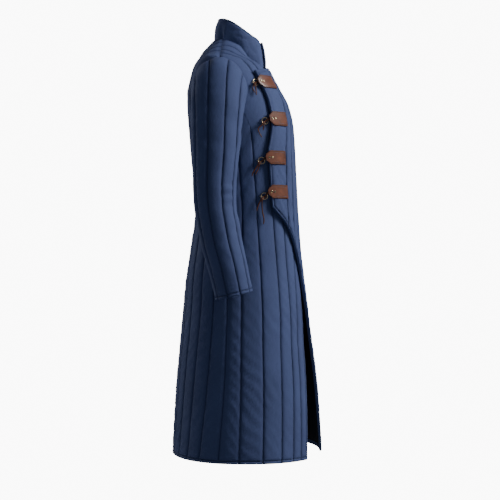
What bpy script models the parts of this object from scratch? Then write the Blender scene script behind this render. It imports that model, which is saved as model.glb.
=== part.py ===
# Padded gambeson worn with no wearer: hollow quilted walls, open at neck, hem, cuffs and front.
# Metres. +Z up, the front faces -Y, the wearer's right side is -X.
# The origin is the middle of the neck hole, at the height where the shoulders carry the coat.

import math

import bmesh
import bpy
import numpy as np
from mathutils import Matrix, Vector

# Driving sizes
HEM_Z = -1.115
PADDING = 0.0080
STITCH_DIP = 0.0048
EDGE_DIP = 0.0008
SEAM_DIP = 0.0030
OVERLAP_STEP = 0.0115
SEAM_GAP = 0.0003
SEAM_PULL = 0.00025
ARMHOLE_GAP = 0.0010
SHOULDER_Z = -0.058
NECK_SIDE_Z = 0.0065
ARMHOLE_HALF_WIDTH = 0.072
ARMHOLE_TOP_Z = -0.058
ARMHOLE_BOTTOM_Z = -0.235
FLAP_TOP_HALF = 0.167
FLAP_TOP_DROP = 0.032
NECK_FRONT_Z = -0.062
NECK_HALF_WIDTH = 0.066
NECK_SQUARENESS = 0.6

# Body sections, in millimetres: how far the cloth reaches to the back and the front of the
# shoulder line, where it is widest, half its width, and how square its two halves are.
BODY_COLUMNS = ("z", "back", "front", "widest", "half_width", "back_power", "front_power")
BODY_SECTIONS = (
    (-1115, -139, 272, 66, 290, 2.3, 2.2),
    (-994, -132, 264, 66, 275, 2.3, 2.2),
    (-906, -126, 256, 65, 263, 2.3, 2.2),
    (-818, -118, 245, 63, 250, 2.3, 2.2),
    (-730, -110, 234, 62, 238, 2.3, 2.3),
    (-642, -102, 223, 60, 226, 2.4, 2.3),
    (-554, -88, 212, 60, 213, 2.5, 2.4),
    (-466, -76, 206, 60, 203, 2.5, 2.4),
    (-378, -82, 201, 55, 205, 2.6, 2.4),
    (-290, -90, 197, 50, 208, 2.8, 2.4),
    (-235, -93, 193, 45, 208, 3.4, 2.4),
    (-180, -96, 182, 35, 205, 4.0, 2.3),
    (-142, -96, 165, 25, 202, 4.2, 2.2),
    (-97, -88, 143, 10, 199, 4.0, 2.0),
    (-75, -82, 132, 0, 196, 3.6, 1.9),
    (-62, -76, 121, -5, 194, 3.2, 1.8),
    (-58, -74, 116, -5, 193, 3.0, 1.8),
    (-52, -70, 104, -5, 180.4, 2.8, 1.7),
    (-41, -65, 88, -4, 157.2, 2.5, 1.7),
    (-31, -60, 79, -3, 136.2, 2.3, 1.8),
    (-11, -45, 66, -1, 94.2, 2.1, 2.0),
    (10, -27, 45, 1, 50, 2.0, 2.0),
    (18, -20, 38, 2, 33.2, 2.0, 2.0),
)

# Quilting lines: their angle round the body in degrees from the centre front towards the
# wearer's right, at five heights, and where each ends at the top and the bottom. A row that
# isn't stitched only shapes the padding between two lines.
# top: 0 to 1 up the armhole, 1 to 2 in along the shoulder, 2 to 3 round the neck to the
# centre front, and 3 to 4 out along the top of the flap.
LINE_HEIGHTS = (-0.300, -0.466, -0.650, -0.850, HEM_Z)
LINE_COLUMNS = ("stitched", "top", "chest", "waist", "hip", "knee", "hem", "bottom")
RIGHT_FRONT_LINES = (
    (1, 0.00, 108.5, 107.0, 105.5, 106.5, 111.0, HEM_Z),
    (1, 0.25, 93.0, 92.5, 93.0, 94.0, 95.8, HEM_Z),
    (1, 0.53, 78.0, 77.0, 74.7, 76.2, 78.5, HEM_Z),
    (0, 1.00, 69.0, 68.0, 66.0, 68.0, 71.0, HEM_Z),
    (1, 1.25, 61.0, 60.0, 58.0, 60.8, 64.3, HEM_Z),
    (1, 1.45, 46.0, 47.0, 47.0, 50.0, 54.7, HEM_Z),
    (1, 1.70, 30.0, 33.0, 37.0, 42.5, 47.4, HEM_Z),
    (0, 2.00, 19.0, 24.0, 32.5, 39.0, 44.5, HEM_Z),
    (0, 2.25, 14.0, 20.0, 31.0, 38.0, 43.8, HEM_Z),
    (0, 2.50, 9.0, 16.0, 29.0, 36.7, 42.9, HEM_Z),
    (0, 2.75, 4.0, 12.0, 27.2, 35.4, 42.0, HEM_Z),
    (0, 3.00, -2.0, 8.0, 25.5, 34.2, 41.0, HEM_Z),
)
LEFT_FRONT_LINES = (
    (1, 0.00, -108.5, -107.0, -105.5, -106.5, -111.0, HEM_Z),
    (1, 0.25, -93.0, -92.5, -93.0, -94.0, -95.8, HEM_Z),
    (1, 0.53, -78.0, -77.0, -74.7, -76.2, -78.5, HEM_Z),
    (0, 1.00, -69.0, -68.0, -66.0, -68.0, -71.0, HEM_Z),
    (1, 1.25, -61.0, -60.0, -58.0, -60.8, -64.3, HEM_Z),
    (1, 1.45, -46.0, -47.0, -47.0, -50.0, -54.7, HEM_Z),
    (1, 1.70, -30.0, -33.0, -36.0, -42.5, -47.4, HEM_Z),
    (1, 1.86, -20.0, -22.0, -25.0, -33.0, -38.5, HEM_Z),
    (0, 2.00, -17.5, -19.5, -22.5, -30.0, -35.5, HEM_Z),
    (0, 2.25, -15.2, -17.0, -20.0, -27.5, -33.0, HEM_Z),
    (0, 2.50, -12.8, -14.2, -17.2, -24.5, -30.2, HEM_Z),
    (1, 2.74, -10.0, -11.0, -14.0, -21.0, -27.0, HEM_Z),
    (1, 3.00, 0.0, 0.0, -3.0, -8.0, -12.0, HEM_Z),
    (1, 3.14, 9.5, 10.0, 9.0, 7.0, 4.0, HEM_Z),
    (1, 3.29, 19.0, 20.0, 20.0, 15.5, 13.0, -0.900),
    (1, 3.43, 28.7, 30.5, 28.5, 24.0, 22.0, -0.645),
    (1, 3.54, 36.0, 38.0, 38.0, 36.0, 36.0, -0.555),
    (1, 3.67, 44.5, 46.0, 46.0, 46.0, 46.0, -0.507),
    (1, 4.00, 64.0, 63.0, 63.0, 63.0, 63.0, -0.452),
)
BACK_LINES = (
    (1, 0.00, 108.5, 107.0, 105.5, 106.5, 111.0, HEM_Z),
    (1, 0.45, 121.0, 119.0, 118.5, 120.5, 126.5, HEM_Z),
    (0, 1.00, 127.0, 125.5, 125.0, 127.0, 132.5, HEM_Z),
    (1, 1.38, 135.0, 131.5, 131.0, 133.5, 138.0, HEM_Z),
    (1, 1.62, 147.0, 143.5, 143.5, 145.5, 149.5, HEM_Z),
    (1, 1.87, 158.0, 156.5, 156.0, 157.5, 161.0, HEM_Z),
    (0, 2.00, 163.5, 162.5, 162.0, 163.0, 166.0, HEM_Z),
    (1, 2.40, 169.0, 168.5, 168.0, 169.0, 171.0, HEM_Z),
    (1, 3.00, 180.0, 180.0, 180.0, 180.0, 180.0, HEM_Z),
)
FRONT_ARMHOLE_BOW = 0.016
BACK_ARMHOLE_BOW = 0.026
NECK_SIDE_BOW = 0.012
ARMHOLE_BOW_POWER = 3
NECK_BOW_POWER = 8
TOP_BLEND_POWER = 12
BOTTOM_BLEND_POWER = 4

# Heights of the wall's rows, as shares of each quilting line's length. The second is the
# stitched groove above the rolled hem.
ROW_SHARES = (0.0, 0.0085, 0.016, 0.10, 0.19, 0.28, 0.37, 0.45, 0.52, 0.59, 0.66, 0.73,
              0.80, 0.86, 0.91, 0.955, 0.985, 1.0)
HEM_GROOVE_ROW = 1
CREST_SHARE = 0.18

# Sleeve rings, in millimetres: the outermost and innermost points of each ring seen from the
# front, and seen from the side its middle, half its width and how far its front edge lifts.
SLEEVE_COLUMNS = ("outer_x", "outer_z", "inner_x", "inner_z", "middle", "half_width", "lift")
SLEEVE_RINGS = (
    (-214, -61, -210.5, -240, -6, 73.0, 0),
    (-240, -74, -212, -246, -7, 72.0, 0),
    (-264, -98, -213, -254, -8.5, 70.5, 0),
    (-282, -133, -213, -264, -10, 69.0, 0),
    (-295, -175, -213, -277, -10.5, 67.0, 0),
    (-304, -230, -213, -298, -12, 64.5, 0),
    (-312, -300, -213, -320, -13, 62.0, 0),
    (-316, -350, -213, -360, -15, 59.0, 0),
    (-319, -402, -214, -408, -16.5, 56.5, 2),
    (-321, -448, -216, -452, -14.5, 54.5, 5),
    (-324, -500, -219, -502, -7, 53.0, 8),
    (-327, -552, -224, -552, 3, 52.5, 10),
    (-331, -604, -231, -604, 17, 51.0, 11.5),
    (-334, -648, -237, -648, 26.5, 49.5, 12),
    (-337, -674, -241, -674, 32, 48.5, 12.5),
    (-338, -682.5, -242.5, -682.5, 33.8, 48.5, 12.5),
)
SLEEVE_CHANNELS = 9
SLEEVE_FIRST_LINE = 30.0
CUFF_GROOVE_RING = -2

# Collar: the rim, above the neck hole, is an ellipse that slopes down to the front.
RIM_HALF_WIDTH = 0.060
RIM_HALF_LENGTH = 0.0615
RIM_MIDDLE_FORWARD = 0.0475
RIM_MIDDLE_Z = 0.038
RIM_SLOPE = 0.031
COLLAR_THICKNESS = 0.0065
COLLAR_ROWS = (0.004, 0.1, 0.35, 0.65, 0.93, 1.0)
COLLAR_BOW = 0.003
COLLAR_TUCK = 0.008

# Fastenings on the flap's edge
TAB_LENGTH = 0.066
TAB_WIDTH = 0.036
TAB_THICKNESS = 0.0024
TAB_TIP_LENGTH = 0.014
TAB_TIP_HALF = 0.005
TAB_OVERHANG = 0.011
TAB_LIFT = 0.0006
EYELET_RADIUS = 0.0021
EYELET_WIRE = 0.0006
EYELET_PLACES = (0.010, 0.019)
RING_RADIUS = 0.0085
RING_WIRE = 0.0012
RING_LIFT = 0.0050
RING_TILT = math.radians(10)
STAPLE_RADIUS = 0.0032
STAPLE_WIRE = 0.0008
STAPLE_LIFT = 0.0030
STAPLE_FOOT = 0.0004
LACE_RADIUS = 0.0015
KNOT_SIZE = (0.0036, 0.0036, 0.0028)

# Places forward, up and out from the middle of a ring: the knot, the first point of each free
# end from the knot, and the thong from the tab's tip through the ring to the knot. The thong's
# first two points hang from the tab, so their heights are shares of the ring's drop.
KNOT_PLACE = (-0.0092, -0.0068, 0.0088)
LACE_START = (0.0018, -0.0041, -0.0005)
THONG_TAB_SETBACK = 0.0030
THONG_TAB_OUT = 0.0094
THONG_MIDDLE = (0.0078, 0.7, 0.0096)
THONG_ENDS = ((0.0020, 0.0, 0.0068), (-0.0020, -0.0030, 0.0058), (-0.0049, -0.0055, 0.0082))

# Each fastening: the height of its tab, how far the ring hangs below it and lies behind the
# flap's edge, and the routes of the thong's two free ends, in millimetres forward, up and out
# from the knot.
FASTENINGS = (
    (-0.1250, 0.000, 0.0125,
     ((0, -4, 0), (-4, -7, -2.5), (-6, -13, -4), (-2, -24, -4)),
     ((2, -4, 1), (3, -14, -3), (1, -30, -4))),
    (-0.2210, 0.006, 0.018,
     ((-3, -2, 0), (-7, -9, -1.5), (-13, -16, -3), (-9, -27, -3.5), (-3, -37, -3.5)),
     ((0, -4, 1), (3, -9, -1), (1, -18, -2.5))),
    (-0.3220, 0.009, 0.018,
     ((-2, -4, 0), (-8, -14, -2.5), (-15, -26, -3.5), (-17, -34, -3.5)),
     ((1, -4, 1), (-1, -15, -1.5), (-8, -29, -2.5))),
    (-0.4120, 0.012, 0.018,
     ((-2, -4, 0), (-6, -12, -2.5), (-10, -24, -3.5), (-12, -31, -3.5)),
     ((2, -4, 1), (2, -16, -2), (4, -34, -3.5), (8, -52, -3.5), (7, -66, -3.5))),
)

COLLECTION = "gambeson"


# Small maths

def smooth_curve(places, values):
    """Monotone cubic through a table's column, as a function of place."""
    order = np.argsort(places)
    p = np.asarray(places, float)[order]
    v = np.asarray(values, float)[order]
    step = np.diff(p)
    rise = np.diff(v) / step
    slope = np.zeros_like(v)
    slope[0] = rise[0]
    slope[-1] = rise[-1]
    for i in range(1, len(v) - 1):
        if rise[i - 1] * rise[i] > 0:
            a = 2 * step[i] + step[i - 1]
            b = step[i] + 2 * step[i - 1]
            slope[i] = (a + b) / (a / rise[i - 1] + b / rise[i])

    def read(place):
        place = min(max(place, p[0]), p[-1])
        i = min(max(int(np.searchsorted(p, place)) - 1, 0), len(step) - 1)
        t = (place - p[i]) / step[i]
        return ((1 + 2 * t) * (1 - t) ** 2 * v[i] + t * (1 - t) ** 2 * step[i] * slope[i]
                + t * t * (3 - 2 * t) * v[i + 1] + t * t * (t - 1) * step[i] * slope[i + 1])

    return read


def ease(value):
    """Zero below 0, one above 1, smooth between."""
    t = min(max(value, 0.0), 1.0)
    return t * t * (3 - 2 * t)


def hump(share, power):
    """Zero at both ends and one at its height, which lies nearer the far end with more power."""
    height = (power / (power + 1)) ** power / (power + 1)
    return share ** power * (1 - share) / height


# Body surface: where the padding's crests lie

BODY = {name: smooth_curve([row[0] / 1000 for row in BODY_SECTIONS],
                           [row[i] / (1 if "power" in name else 1000) for row in BODY_SECTIONS])
        for i, name in enumerate(BODY_COLUMNS)}


def section_sizes(z, front):
    """Middle, half width, depth and squareness of the front or back half at height z."""
    widest = BODY["widest"](z)
    if front:
        return widest, BODY["half_width"](z), BODY["front"](z) - widest, BODY["front_power"](z)
    return widest, BODY["half_width"](z), widest - BODY["back"](z), BODY["back_power"](z)


def body_point(angle, z):
    """Point on the body at an angle in degrees from the centre front to the wearer's right."""
    across = math.sin(math.radians(angle))
    forward = math.cos(math.radians(angle))
    widest, half_width, depth, power = section_sizes(z, forward >= 0)
    reach = (abs(across) ** power + abs(forward) ** power) ** (-1 / power)
    return Vector((-half_width * reach * across, -(widest + depth * reach * forward), z))


def body_frame(angle, z):
    """Point, direction round the body to the front, direction up the cloth, outward normal."""
    point = body_point(angle, z)
    turn = 0.5
    rise = 0.0015
    round_way = (body_point(angle - turn, z) - body_point(angle + turn, z)).normalized()
    up = (body_point(angle, z + rise) - body_point(angle, z - rise)).normalized()
    normal = up.cross(round_way).normalized()
    if normal.dot(Vector((point.x, point.y + section_sizes(z, True)[0], 0))) < 0:
        normal = -normal
    return point, round_way, normal.cross(round_way), normal


def angle_of(side, forward, z):
    """Angle of the section point with the same width or, near the side, the same depth."""
    widest, half_width, depth, power = section_sizes(z, forward >= BODY["widest"](z))
    share = min(abs(forward - widest) / depth, 1.0)
    across = (1 - share ** power) ** (1 / power)
    along = math.copysign(share, forward - widest)
    return math.copysign(math.degrees(math.atan2(across, along)), side)


def angle_at_width(x, z, front):
    """Angle of the section point that lies x to the wearer's right."""
    widest, half_width, depth, power = section_sizes(z, front)
    share = min(abs(x) / half_width, 1.0)
    along = (1 - share ** power) ** (1 / power)
    if not front:
        along = -along
    return math.copysign(math.degrees(math.atan2(share, along)), x)


# Upper edges of the panels

def armhole_edge(turn):
    """Armhole at a turn in degrees from its top, positive to the front: forward place, z."""
    middle_z = (ARMHOLE_TOP_Z + ARMHOLE_BOTTOM_Z) / 2
    half_height = (ARMHOLE_TOP_Z - ARMHOLE_BOTTOM_Z) / 2
    forward = BODY["widest"](SHOULDER_Z) + ARMHOLE_HALF_WIDTH * math.sin(math.radians(turn))
    return forward, middle_z + half_height * math.cos(math.radians(turn))


def neck_edge(turn):
    """Neck hole at a turn in degrees from the centre front: side place, z."""
    across = math.sin(math.radians(turn))
    along = math.cos(math.radians(turn))
    z = -0.026 - 0.036 * along + 0.0076 * across ** 2 * (1 - 2.4 * along)
    return NECK_HALF_WIDTH * max(across, 0.0) ** NECK_SQUARENESS, z


NECK_SIDE_TURN = 124.6


def top_end(top, side, front):
    """Angle and height where a quilting line meets the panel's upper edge."""
    if top <= 1.0:
        turn = 180 * (1 - top) * (1 if front else -1)
        forward, z = armhole_edge(turn)
        return angle_of(side, forward, z), z
    if top <= 2.0:
        z = SHOULDER_Z + (NECK_SIDE_Z - SHOULDER_Z) * (top - 1)
        return side * 90.0, z
    if top <= 3.0:
        far_turn = 0.0 if front else 180.0
        turn = NECK_SIDE_TURN + (far_turn - NECK_SIDE_TURN) * (top - 2)
        x, z = neck_edge(turn)
        angle = angle_at_width(x, z, turn < NECK_SIDE_TURN)
        return side * angle, z
    share = top - 3
    z = NECK_FRONT_Z - FLAP_TOP_DROP * share
    return -side * angle_at_width(FLAP_TOP_HALF * share, z, True), z


class Lines:
    """A panel's quilting lines, read at any place between two of them."""

    def __init__(self, rows, side, front):
        self.rows = rows
        self.side = side
        self.front = front
        self.numbers = range(len(rows))
        self.columns = {name: smooth_curve(self.numbers, [row[i] for row in rows])
                        for i, name in enumerate(LINE_COLUMNS)}
        self.courses = {}

    def stitched(self, line):
        return line == int(line) and self.rows[int(line)][0] == 1

    def top_place(self, line):
        return float(np.interp(line, self.numbers, [row[1] for row in self.rows]))

    def ends(self, line):
        """Top and bottom of a line, each as an angle and a height."""
        if line not in self.courses:
            angles = smooth_curve(LINE_HEIGHTS, [self.columns[name](line)
                                                 for name in LINE_COLUMNS[2:7]])
            bottom = self.columns["bottom"](line)
            top = top_end(self.top_place(line), self.side, self.front)
            self.courses[line] = (top, (angles(bottom), bottom), angles)
        return self.courses[line]

    def course(self, number, share):
        """Angle and height of one of the table's own lines at a share of its length.

        Above the chest a line runs straight to its end, bowed where it edges an armhole or neck.
        """
        (top_angle, top_z), (low_angle, bottom), angles = self.ends(number)
        z = bottom + (top_z - bottom) * share
        chest_z = LINE_HEIGHTS[0]
        if z <= chest_z:
            return angles(z), z
        low = body_point(angles(chest_z), chest_z)
        high = body_point(top_angle, top_z)
        rise = (z - chest_z) / (top_z - chest_z)
        point = low.lerp(high, rise)
        top = self.rows[number][1]
        if top < 1.0:
            forward = -point.y
            widest, half_width, depth, power = section_sizes(z, forward >= BODY["widest"](z))
            return math.degrees(math.atan2(-point.x / half_width, (forward - widest) / depth)), z
        if top == 1.0:
            bow = FRONT_ARMHOLE_BOW if self.front else BACK_ARMHOLE_BOW
            point.x -= math.copysign(bow * hump(rise, ARMHOLE_BOW_POWER), point.x)
        if top == 2.0 and self.front:
            point.x += math.copysign(NECK_SIDE_BOW * hump(rise, NECK_BOW_POWER), point.x)
        angle = angle_at_width(-point.x, z, self.front)
        return (angle if self.front else abs(angle)), z

    def place(self, line, share):
        """Angle and height at any place: between two lines, shaped by the panel's own edges."""
        before = min(int(line), len(self.rows) - 2)
        part = line - before
        if part == 0:
            return self.course(before, share)
        if part == 1:
            return self.course(before + 1, share)
        near = self.course(before, share)
        far = self.course(before + 1, share)
        top, bottom, angles = self.ends(line)
        near_top, near_bottom, near_angles = self.ends(before)
        far_top, far_bottom, far_angles = self.ends(before + 1)
        result = []
        for i in (0, 1):
            value = near[i] + (far[i] - near[i]) * part
            at_top = top[i] - (near_top[i] + (far_top[i] - near_top[i]) * part)
            at_bottom = bottom[i] - (near_bottom[i] + (far_bottom[i] - near_bottom[i]) * part)
            result.append(value + at_top * share ** TOP_BLEND_POWER
                          + at_bottom * (1 - share) ** BOTTOM_BLEND_POWER)
        return result[0], result[1]


# Meshes and objects

def material(name, colour, roughness, metallic=0.0):
    result = bpy.data.materials.get(name)
    if result is None:
        result = bpy.data.materials.new(name)
        result.use_nodes = True
        shader = result.node_tree.nodes["Principled BSDF"]
        shader.inputs["Base Color"].default_value = (*colour, 1)
        shader.inputs["Roughness"].default_value = roughness
        shader.inputs["Metallic"].default_value = metallic
    return result


def cloth():
    return material("blue_cotton", (0.062, 0.090, 0.190), 0.85)


def leather():
    return material("brown_leather", (0.130, 0.045, 0.026), 0.55)


def brass():
    return material("pale_brass", (0.720, 0.600, 0.430), 0.28, 1.0)


def put(name, data, surface):
    result = bpy.data.objects.new(name, data)
    data.materials.append(surface)
    bpy.data.collections[COLLECTION].objects.link(result)
    return result


def mesh_object(name, vertices, faces, surface):
    mesh = bpy.data.meshes.new(name)
    mesh.from_pydata([tuple(v) for v in vertices], [], faces)
    shape = bmesh.new()
    shape.from_mesh(mesh)
    bmesh.ops.recalc_face_normals(shape, faces=shape.faces)
    shape.to_mesh(mesh)
    shape.free()
    mesh.shade_smooth()
    mesh.set_sharp_from_angle(angle=math.radians(40))
    return put(name, mesh, surface)


def wall(name, outer, inner, inner_at, closed, surface):
    """Solid between an outer grid of columns and an inner grid with fewer of them.

    inner_at holds, for each stretch between two inner columns, the outer columns over it.
    """
    rows = len(outer[0])
    vertices = [point for column in outer for point in column]
    first_inner = len(vertices)
    vertices += [point for column in inner for point in column]

    def out(i, j):
        return (i % len(outer)) * rows + j

    def lining(i, j):
        return first_inner + (i % len(inner)) * rows + j

    faces = []
    spans = len(outer) if closed else len(outer) - 1
    for i in range(spans):
        for j in range(rows - 1):
            faces.append((out(i + 1, j), out(i + 1, j + 1), out(i, j + 1), out(i, j)))
    for i, over in enumerate(inner_at):
        for j in range(rows - 1):
            faces.append((lining(i, j + 1), lining(i + 1, j + 1), lining(i + 1, j), lining(i, j)))
        for j in (0, rows - 1):
            rim = [out(k, j) for k in over] + [lining(i + 1, j), lining(i, j)]
            faces.append(rim[::-1] if j == 0 else rim)
    if not closed:
        for i, k in ((0, 0), (len(inner) - 1, len(outer) - 1)):
            for j in range(rows - 1):
                side = (out(k, j), out(k, j + 1), lining(i, j + 1), lining(i, j))
                faces.append(side if i == 0 else side[::-1])
    return mesh_object(name, vertices, faces, surface)


def pull_in(point, neighbour, distance):
    return point + (neighbour - point).normalized() * distance


# Quilted body panels

def flap_rise(angle):
    """How far the flap lies out over the right front at an angle."""
    return OVERLAP_STEP * ease((angle - 8) / 32)


def channel_columns(stitched):
    """Outer columns, inner columns, and which outer ones lie over each inner span.

    stitched says for each of the table's lines whether it is a groove.
    """
    places = []
    inner_places = []
    inner_at = []
    for line in range(len(stitched) - 1):
        first = len(places)
        if stitched[line] and stitched[line + 1]:
            places += [line, line + CREST_SHARE, line + 0.5, line + 1 - CREST_SHARE]
            inner_places += [line, line + 0.5]
            inner_at += [(first, first + 1, first + 2), (first + 2, first + 3, first + 4)]
        elif stitched[line] or stitched[line + 1]:
            crest = 2 * CREST_SHARE if stitched[line] else 1 - 2 * CREST_SHARE
            places += [line, line + crest]
            inner_places += [line]
            inner_at += [(first, first + 1, first + 2)]
        else:
            places += [line]
            inner_places += [line]
            inner_at += [(first, first + 1)]
    last = len(stitched) - 1
    return places + [last], inner_places + [last], inner_at


def panel(name, lines, rise, mirrored=False):
    """A quilted panel with grooves along its lines and above its rolled hem."""
    middle = len(lines.rows) - 1
    stitched = [row[0] == 1 for row in lines.rows]
    if mirrored:
        stitched += stitched[-2::-1]

    def own(line):
        return 2 * middle - line if line > middle else line

    def place(line, share):
        angle, z = lines.place(own(line), share)
        point, round_way, up, normal = body_frame(angle, z)
        point = point + normal * rise(angle)
        if line > middle:
            return Vector((-point.x, point.y, point.z)), Vector((-normal.x, normal.y, normal.z))
        return point, normal

    def dip(line, row):
        at_hem = lines.ends(own(line))[1][1] < HEM_Z + 0.001
        if row == len(ROW_SHARES) - 1 or line in (0, len(stitched) - 1):
            return SEAM_DIP
        if row == 0 and at_hem:
            return EDGE_DIP
        if row == HEM_GROOVE_ROW and at_hem or lines.stitched(own(line)):
            return STITCH_DIP
        return 0.0

    places, inner_places, inner_at = channel_columns(stitched)
    outer = []
    for line in places:
        crests = [place(line, share) for share in ROW_SHARES]
        outer.append([point - normal * dip(line, row)
                      for row, (point, normal) in enumerate(crests)])
    inner = [[point - normal * PADDING for point, normal in
              (place(line, share) for share in ROW_SHARES)] for line in inner_places]
    for grid in (outer, inner):
        for column in grid:
            column[-1] = pull_in(column[-1], column[-2], SEAM_PULL)
        grid[0] = [pull_in(a, b, SEAM_PULL) for a, b in zip(grid[0], grid[1])]
        grid[-1] = [pull_in(a, b, SEAM_PULL) for a, b in zip(grid[-1], grid[-2])]
    return wall(name, outer, inner, inner_at, False, cloth())


def grid_normals(grid, closed):
    """Normals of a grid of columns of points, from each point's neighbours."""
    normals = []
    for i, column in enumerate(grid):
        before = grid[i - 1] if closed or i > 0 else column
        after = grid[(i + 1) % len(grid)] if closed or i < len(grid) - 1 else column
        normals.append([])
        for j in range(len(column)):
            round_way = after[j] - before[j]
            along = column[min(j + 1, len(column) - 1)] - column[max(j - 1, 0)]
            normals[-1].append(round_way.cross(along).normalized())
    return normals


# Sleeves

def edge_places(lines, low, high):
    """Places between low and high on the upper edge where a panel has points."""
    stitched = [row[0] == 1 for row in lines.rows]
    tops = [lines.top_place(line) for line in channel_columns(stitched)[0]]
    return [top for top in tops if low <= top <= high]


def armhole_turns():
    """Turns round the armhole where the panels have points, from -180 at the back to 180."""
    front = [180 * (1 - top) for top in edge_places(Lines(RIGHT_FRONT_LINES, 1, True), 0, 1)]
    back = [-180 * (1 - top) for top in edge_places(Lines(BACK_LINES, 1, False), 0, 1)]
    return sorted(set(front + back))


ARMHOLE_TURNS = armhole_turns()


def armhole_point(turn):
    """Point on the armhole seam at the bottom of its dip, on the panels' own edge."""
    turns = ARMHOLE_TURNS
    turn = (turn + 180) % 360 - 180
    ends = []
    after = min(max(int(np.searchsorted(turns, turn)), 1), len(turns) - 1)
    for near in (turns[after - 1], turns[after]):
        forward, z = armhole_edge(near)
        point, round_way, up, normal = body_frame(angle_of(1, forward, z), z)
        ends.append(point - normal * SEAM_DIP)
    share = (turn - turns[after - 1]) / (turns[after] - turns[after - 1])
    return ends[0].lerp(ends[1], share)


def sleeve_point(turn, ring):
    """Crest point of the right sleeve at a turn from its front edge towards the outside."""
    if ring == 0:
        return armhole_point(90 - turn) - Vector((ARMHOLE_GAP, 0, 0))
    outer_x, outer_z, inner_x, inner_z, middle, half_width, lift = [
        value / 1000 for value in SLEEVE_RINGS[ring - 1]]
    centre = Vector(((outer_x + inner_x) / 2, -middle, (outer_z + inner_z) / 2))
    outward = Vector(((outer_x - inner_x) / 2, 0, (outer_z - inner_z) / 2))
    forward = Vector((0, -half_width, lift))
    return (centre + forward * math.cos(math.radians(turn))
            + outward * math.sin(math.radians(turn)))


def sleeve(name, side):
    """A quilted sleeve; side is 1 for the wearer's right and -1 for the left."""
    places, inner_places, inner_at = channel_columns([True] * (SLEEVE_CHANNELS + 1))
    places = places[:-1]
    inner_places = inner_places[:-1]
    channel_turn = 360 / SLEEVE_CHANNELS
    rings = len(SLEEVE_RINGS) + 1

    def crest_grid(columns):
        return [[sleeve_point(SLEEVE_FIRST_LINE + channel_turn * place, ring)
                 for ring in range(rings)] for place in columns]

    crests = crest_grid(places)
    normals = grid_normals(crests, True)
    outer = []
    for place, column, ways in zip(places, crests, normals):
        dips = [STITCH_DIP if place == int(place) else 0.0] * rings
        dips[0] = 0.0
        dips[CUFF_GROOVE_RING] = STITCH_DIP
        dips[-1] = EDGE_DIP
        outer.append([point - way * dip for point, way, dip in zip(column, ways, dips)])
    lining_crests = crest_grid(inner_places)
    lining_normals = grid_normals(lining_crests, True)
    depth = [PADDING - SEAM_DIP] + [PADDING] * (rings - 1)
    inner = [[point - way * d for point, way, d in zip(column, ways, depth)]
             for column, ways in zip(lining_crests, lining_normals)]
    if side < 0:
        outer = [[Vector((-p.x, p.y, p.z)) for p in column] for column in outer]
        inner = [[Vector((-p.x, p.y, p.z)) for p in column] for column in inner]
    return wall(name, outer, inner, inner_at, True, cloth())


# Collar

def collar_turns():
    """Turns of the collar's columns, from its right end round the back to its left end."""
    right = [NECK_SIDE_TURN * (3 - top)
             for top in edge_places(Lines(RIGHT_FRONT_LINES, 1, True), 2, 3)]
    back = [NECK_SIDE_TURN + (180 - NECK_SIDE_TURN) * (top - 2)
            for top in edge_places(Lines(BACK_LINES, 1, False), 2, 3)]
    left = [360 - NECK_SIDE_TURN * (3 - top)
            for top in edge_places(Lines(LEFT_FRONT_LINES, -1, True), 2, 3)]
    return sorted(set(right + back + [360 - turn for turn in back] + left))


def neck_seam_point(turn):
    """Point on the neck seam at a turn from the centre front, up to 360 degrees."""
    side = 1 if turn <= 180 else -1
    near = turn if side > 0 else 360 - turn
    x, z = neck_edge(near)
    angle = side * angle_at_width(x, z, near < NECK_SIDE_TURN)
    point, round_way, up, normal = body_frame(angle, z)
    rise = flap_rise(angle) - OVERLAP_STEP if side > 0 and near < NECK_SIDE_TURN else 0.0
    return point + normal * (rise - SEAM_DIP)


def collar_point(turn, height):
    """Point of the collar's outside at a turn and a share of its height."""
    near = min(turn, 360 - turn)
    across = math.sin(math.radians(turn))
    along = math.cos(math.radians(turn))
    base = neck_seam_point(turn)
    skew = 0.005 * across ** 2 * (1 - 2.4 * along)
    rim = Vector((-RIM_HALF_WIDTH * across, -(RIM_MIDDLE_FORWARD + RIM_HALF_LENGTH * along),
                  RIM_MIDDLE_Z - RIM_SLOPE * along + skew))
    if turn <= 180:
        rim.y += COLLAR_TUCK * (1 - ease((near - 5) / 40))
    way = Vector((-across * RIM_HALF_WIDTH, -along * RIM_HALF_LENGTH, 0)).normalized()
    bow = COLLAR_BOW * 4 * height * (1 - height)
    return base.lerp(rim, height) + way * bow


def collar():
    turns = collar_turns()
    crests = [[collar_point(turn, height) for height in COLLAR_ROWS] for turn in turns]
    normals = [[-way for way in ways] for ways in grid_normals(crests, False)]
    edge_dips = [0.0] * (len(COLLAR_ROWS) - 1) + [EDGE_DIP]
    outer = [[point + way * -dip for point, way, dip in zip(column, ways, edge_dips)]
             for column, ways in zip(crests, normals)]
    inner = [[point - way * COLLAR_THICKNESS for point, way in zip(column, ways)]
             for column, ways in zip(crests, normals)]
    inner_at = [(i, i + 1) for i in range(len(turns) - 1)]
    return wall("collar", outer, inner, inner_at, False, cloth())


# Fastenings

def flap_edge_angle(lines, z):
    """Angle of the flap's upright edge at height z."""
    edge = len(lines.rows) - 1
    (top_angle, top_z), (low_angle, bottom), angles = lines.ends(edge)
    return lines.place(edge, (z - bottom) / (top_z - bottom))[0]


def angle_forward(start, z, distance, rise):
    """Angle that lies a distance round the body to the front of a start angle."""
    angle = start
    step = -0.25 if distance > 0 else 0.25
    point, round_way, up, normal = body_frame(angle, z)
    here = point + normal * rise
    left = abs(distance)
    while left > 0:
        point, round_way, up, normal = body_frame(angle + step, z)
        there = point + normal * rise
        length = (there - here).length
        if length >= left:
            return angle + step * left / length
        left -= length
        angle += step
        here = there
    return angle


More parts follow.
